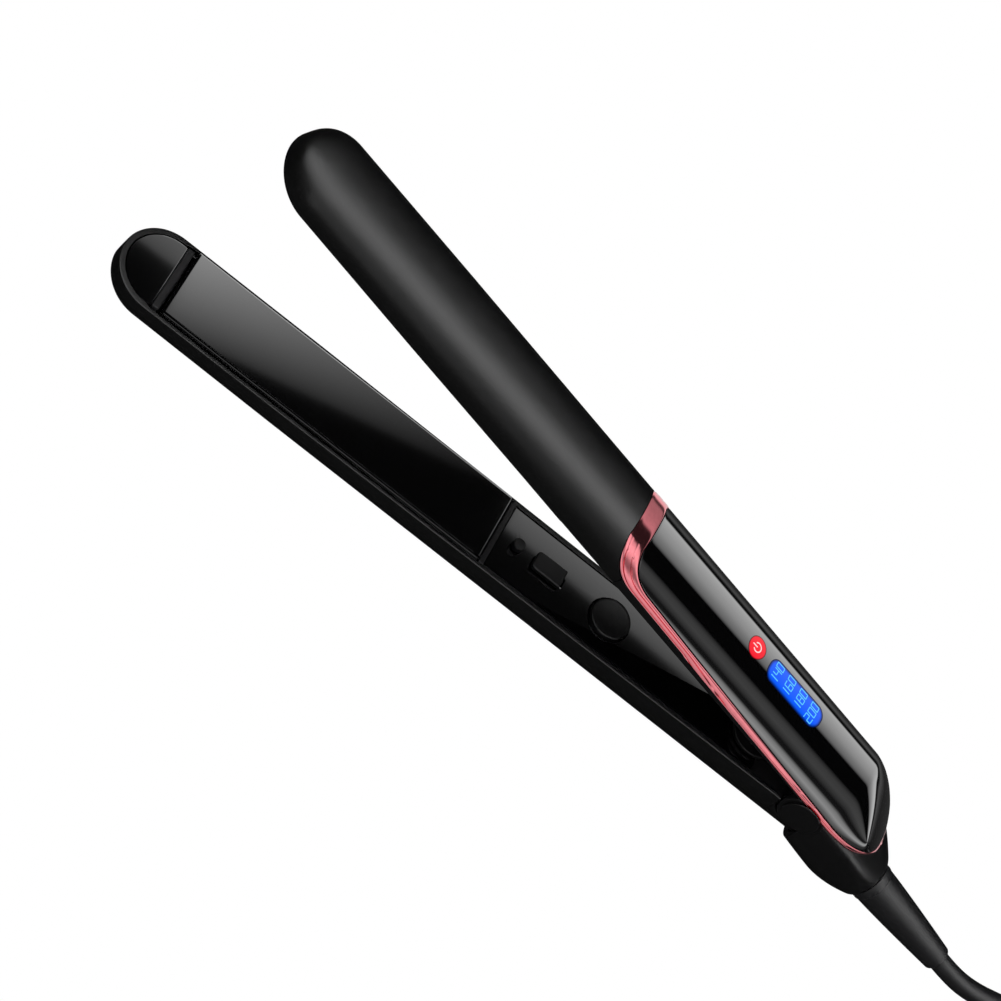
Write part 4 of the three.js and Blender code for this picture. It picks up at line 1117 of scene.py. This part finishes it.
def makeCord():
    v = cordValues
    centre = np.array([v["coilX"], exitHeight - v["coilRadius"], 0.0])
    lead = [(v["exitX"] + x, exitHeight + y, z) for x, y, z in [(-3, 0, 14), *leadPoints]]
    coil = coilPoints() + centre
    join = [(140.5, exitHeight + 1.0, 3.25), (149.5, exitHeight + 3.2, 3.25), (159.5, exitHeight + 5.6, 3.25)]
    tail = np.array(tailPoints) + centre
    line = smoothThrough(np.concatenate([lead, join, coil[1:], tail]))
    data = bpy.data.curves.new("mains_cord", "CURVE")
    data.dimensions = "3D"
    data.bevel_depth = v["diameter"] / 2000
    data.bevel_resolution = 7
    data.use_fill_caps = True
    spline = data.splines.new("POLY")
    spline.points.add(len(line) - 1)
    spots = tablePoints(line)
    spline.points.foreach_set("co", np.concatenate([spots, np.ones((len(spots), 1))], 1).ravel())
    spline.use_smooth = True
    data.materials.append(materials["cord_rubber"])
    cord = addObject("mains_cord", data)
    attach(cord, "main_arm")
    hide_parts("cord_lead", "cord_coil")
    plug = makePlug(tail[-2])
    print("cord length", round(float(np.linalg.norm(np.diff(line, axis=0), axis=1).sum()), 1), "mm")


plugValues = dict(length=27.0, radius=8.4, pinRadius=2.0, pinLength=16.0, pinPlace=4.0,)


def makePlug(spot):
    v = plugValues
    profile = rounded([(0, 0.02), (0, 4.25), (9, 5.3), (13, v["radius"] - 0.3),
                       (v["length"] - 4, v["radius"]),
                       (v["length"], v["radius"] - 0.9), (v["length"], 0.02)], 1.2, 7)
    vertices, faces = turnedBody(profile * np.array([-1.0, 1.0]), 72, "x")
    pieces = [finishPiece("plug_body_skin", "main_arm", "cord_rubber", tablePoints(vertices + spot), faces,
                          "plug_body")]
    for side, name in ((1, "left"), (-1, "right")):
        shape = rounded([(v["length"] + 0.1, 0.02), (v["length"] + 0.1, v["pinRadius"]),
                         (v["length"] + v["pinLength"], v["pinRadius"]),
                         (v["length"] + v["pinLength"], 0.02)], 0.8, 6)
        vertices, faces = turnedBody(shape * np.array([-1.0, 1.0]), 40, "x")
        vertices = tablePoints(vertices + spot + np.array([0, side * v["pinPlace"], 0]))
        pieces.append(finishPiece("plug_pin_skin_" + name, "main_arm", "steel", vertices, faces,
                                  "plug_pin_" + name))
    return pieces


makeCord()
print("cord made")


# Table.

def makeTable():
    mesh = bpy.data.meshes.new("table")
    mesh.from_pydata([(-6, -6, 0), (6, -6, 0), (6, 6, 0), (-6, 6, 0)], [], [(0, 1, 2, 3)])
    material = bpy.data.materials.new("table_white")
    material.use_nodes = True
    tree = material.node_tree
    shader = tree.nodes["Principled BSDF"]
    shader.inputs["Roughness"].default_value = 1.0
    shader.inputs["Specular IOR Level"].default_value = 0.0
    fine = noiseAt(tree, 500.0, 2.0)
    tint = blendColour(tree, fine, (0.80, 0.80, 0.80, 1.0), (0.84, 0.84, 0.84, 1.0))
    tree.links.new(tint, shader.inputs["Base Color"])
    shown = newNode(tree, "ShaderNodeEmission")
    surface = tree.nodes["Material Output"].inputs["Surface"]
    tree.links.new(mixByRay(tree, "Is Camera Ray", shader, shown), surface)
    mesh.materials.append(material)
    table = addObject("table", mesh)
    table.visible_glossy = False
    table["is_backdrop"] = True


# What the shiny pieces mirror.

# Each room is a great sphere of soft strips that only its own pieces mirror. Strips run along the iron:
# the angle round X from +Y to +Z in degrees, and the brightness there.
rooms = dict(
    panel=dict(
        pieces="gloss_panel_skin power_glow level_glow power_mark level_numbers",
        strips=[(-180, 0.02), (-100, 0.04), (-92, 0.10), (-78, 0.28), (-70, 0.02), (-63, 0.0), (-59, 2.5),
                (-45, 2.35), (-30, 1.55), (-19, 1.1), (-14, 0.6), (-10, 0.0), (40, 0.0), (47, 0.2),
                (56, 0.36), (72, 0.42), (86, 0.24), (96, 0.04), (106, 0.06), (114, 1.4), (124, 1.9),
                (132, 0.8), (142, 0.15), (180, 0.02)],
    ),
    trim=dict(
        pieces="trim_frame_skin",
        strips=[(-180, 0.5), (-110, 0.9), (-88, 1.1), (-80, 0.1), (-72, 0.05), (-66, 0.42), (-45, 0.48),
                (-27, 0.72), (-22, 0.02), (24, 0.02), (30, 1.0), (50, 1.4), (66, 1.1), (84, 0.35),
                (100, 0.3), (118, 1.2), (138, 0.75), (180, 0.5)],
    ),
    inner=dict(
        pieces="lower_inner_cover lower_plate_skin upper_plate_skin lower_tip_cap_skin",
        strips=[(-180, 0.003), (180, 0.003)],
        cards=[
            dict(span=(-0.20, -0.1285), edge=(0.16539, -0.58318, -0.79533), gain=3000.0, base=0.47,
                 growth=70.0),
            dict(span=(-0.1285, -0.0515), edge=(-0.03944, -0.60355, -0.79635), gain=2500.0,
                 base=0.25, growth=120.0, fall=(-0.05, 0.0763, 0.9)),
            dict(span=(-0.0515, 0.10), edge=(0.20987, -0.57483, -0.79090), gain=1200.0,
                 base=0.5, growth=75.0),
        ],
    ),
    matte=dict(
        pieces="",
        strips=[(-180, 0.004), (-50, 0.01), (-34, 0.15), (-18, 1.1), (3, 1.75), (24, 1.15), (44, 0.45),
                (66, 0.05), (180, 0.004)],
    ),
)


def stripLight(tree, parts, strips):
    turn = mathNode(tree, "ARCTAN2", parts.outputs["Z"], parts.outputs["Y"])
    share = mathNode(tree, "MULTIPLY_ADD", turn, 0.5 / math.pi, 0.5)
    ramp = newNode(tree, "ShaderNodeValToRGB")
    tree.links.new(share, ramp.inputs[0])
    stops = ramp.color_ramp.elements
    stops.remove(stops[-1])
    stops[0].position = 0.0
    for number, (angle, bright) in enumerate(strips):
        stop = stops[0] if number == 0 else stops.new((angle + 180.0) / 360.0)
        stop.color = (bright / 4, bright / 4, bright / 4, 1.0)
    return mathNode(tree, "MULTIPLY", ramp.outputs["Color"], 4.0)


cardLimit = 2.4


def cardLight(tree, direction, parts, span, edge, gain, base, growth, fall=None):
    # Lit on one side of a straight edge, brighter away from it, and only over a span of directions.
    across = newNode(tree, "ShaderNodeVectorMath", operation="DOT_PRODUCT")
    tree.links.new(direction, across.inputs[0])
    across.inputs[1].default_value = Vector(edge).normalized()
    depth = across.outputs["Value"]
    light = mathNode(tree, "MULTIPLY_ADD", depth, growth, base)
    light = mathNode(tree, "MULTIPLY", light, mathNode(tree, "MULTIPLY", depth, gain, clamp=True))
    inside = mathNode(tree, "MULTIPLY", mathNode(tree, "GREATER_THAN", parts.outputs["X"], span[0]),
                      mathNode(tree, "LESS_THAN", parts.outputs["X"], span[1]))
    light = mathNode(tree, "MULTIPLY", light, inside)
    if fall:
        far = mathNode(tree, "DIVIDE", mathNode(tree, "SUBTRACT", fall[0], parts.outputs["X"]), fall[1],
                       clamp=True)
        light = mathNode(tree, "MULTIPLY", light, mathNode(tree, "POWER", far, fall[2]))
    return mathNode(tree, "MAXIMUM", mathNode(tree, "MINIMUM", light, cardLimit), 0.0)


# The spheres are so large that every piece is at their middle, and each has its own size, because a
# ray loses a surface that lies exactly on another.
roomRadius = 200.0
roomStep = 20.0


def makeRoom(name, pieces, radius, strips, cards=()):
    work = bmesh.new()
    bmesh.ops.create_uvsphere(work, u_segments=48, v_segments=24, radius=radius)
    mesh = bpy.data.meshes.new(name + "_room")
    work.to_mesh(mesh)
    work.free()
    material = bpy.data.materials.new(name + "_room")
    material.use_nodes = True
    tree = material.node_tree
    tree.nodes.clear()
    spot = newNode(tree, "ShaderNodeTexCoord")
    direction = newNode(tree, "ShaderNodeVectorMath", operation="NORMALIZE")
    tree.links.new(spot.outputs["Object"], direction.inputs[0])
    parts = newNode(tree, "ShaderNodeSeparateXYZ")
    tree.links.new(direction.outputs[0], parts.inputs[0])
    light = stripLight(tree, parts, strips)
    for card in cards:
        light = mathNode(tree, "ADD", light, cardLight(tree, direction.outputs[0], parts, **card))
    lamp = newNode(tree, "ShaderNodeEmission")
    tree.links.new(light, lamp.inputs["Strength"])
    clear = newNode(tree, "ShaderNodeBsdfTransparent")
    both = newNode(tree, "ShaderNodeAddShader")
    tree.links.new(lamp.outputs[0], both.inputs[0])
    tree.links.new(clear.outputs[0], both.inputs[1])
    out = newNode(tree, "ShaderNodeOutputMaterial")
    tree.links.new(both.outputs[0], out.inputs["Surface"])
    material.cycles.emission_sampling = "NONE"
    mesh.materials.append(material)
    room = addObject(name + "_room", mesh)
    for sight in ("camera", "diffuse", "transmission", "volume_scatter", "shadow"):
        setattr(room, "visible_" + sight, False)
    seenBy = bpy.data.collections.new(name + "_pieces")
    for piece in pieces:
        seenBy.objects.link(piece)
    room.light_linking.receiver_collection = seenBy
    room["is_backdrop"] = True


def makeRooms():
    shown = {piece.name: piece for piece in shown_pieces()}
    left = set(shown)
    for values in rooms.values():
        left -= set(values["pieces"].split())
    for number, (name, values) in enumerate(rooms.items()):
        chosen = values["pieces"].split() or sorted(left)
        makeRoom(name, [shown[n] for n in chosen], roomRadius + roomStep * number, values["strips"],
                 values.get("cards", ()))


makeTable()
makeRooms()
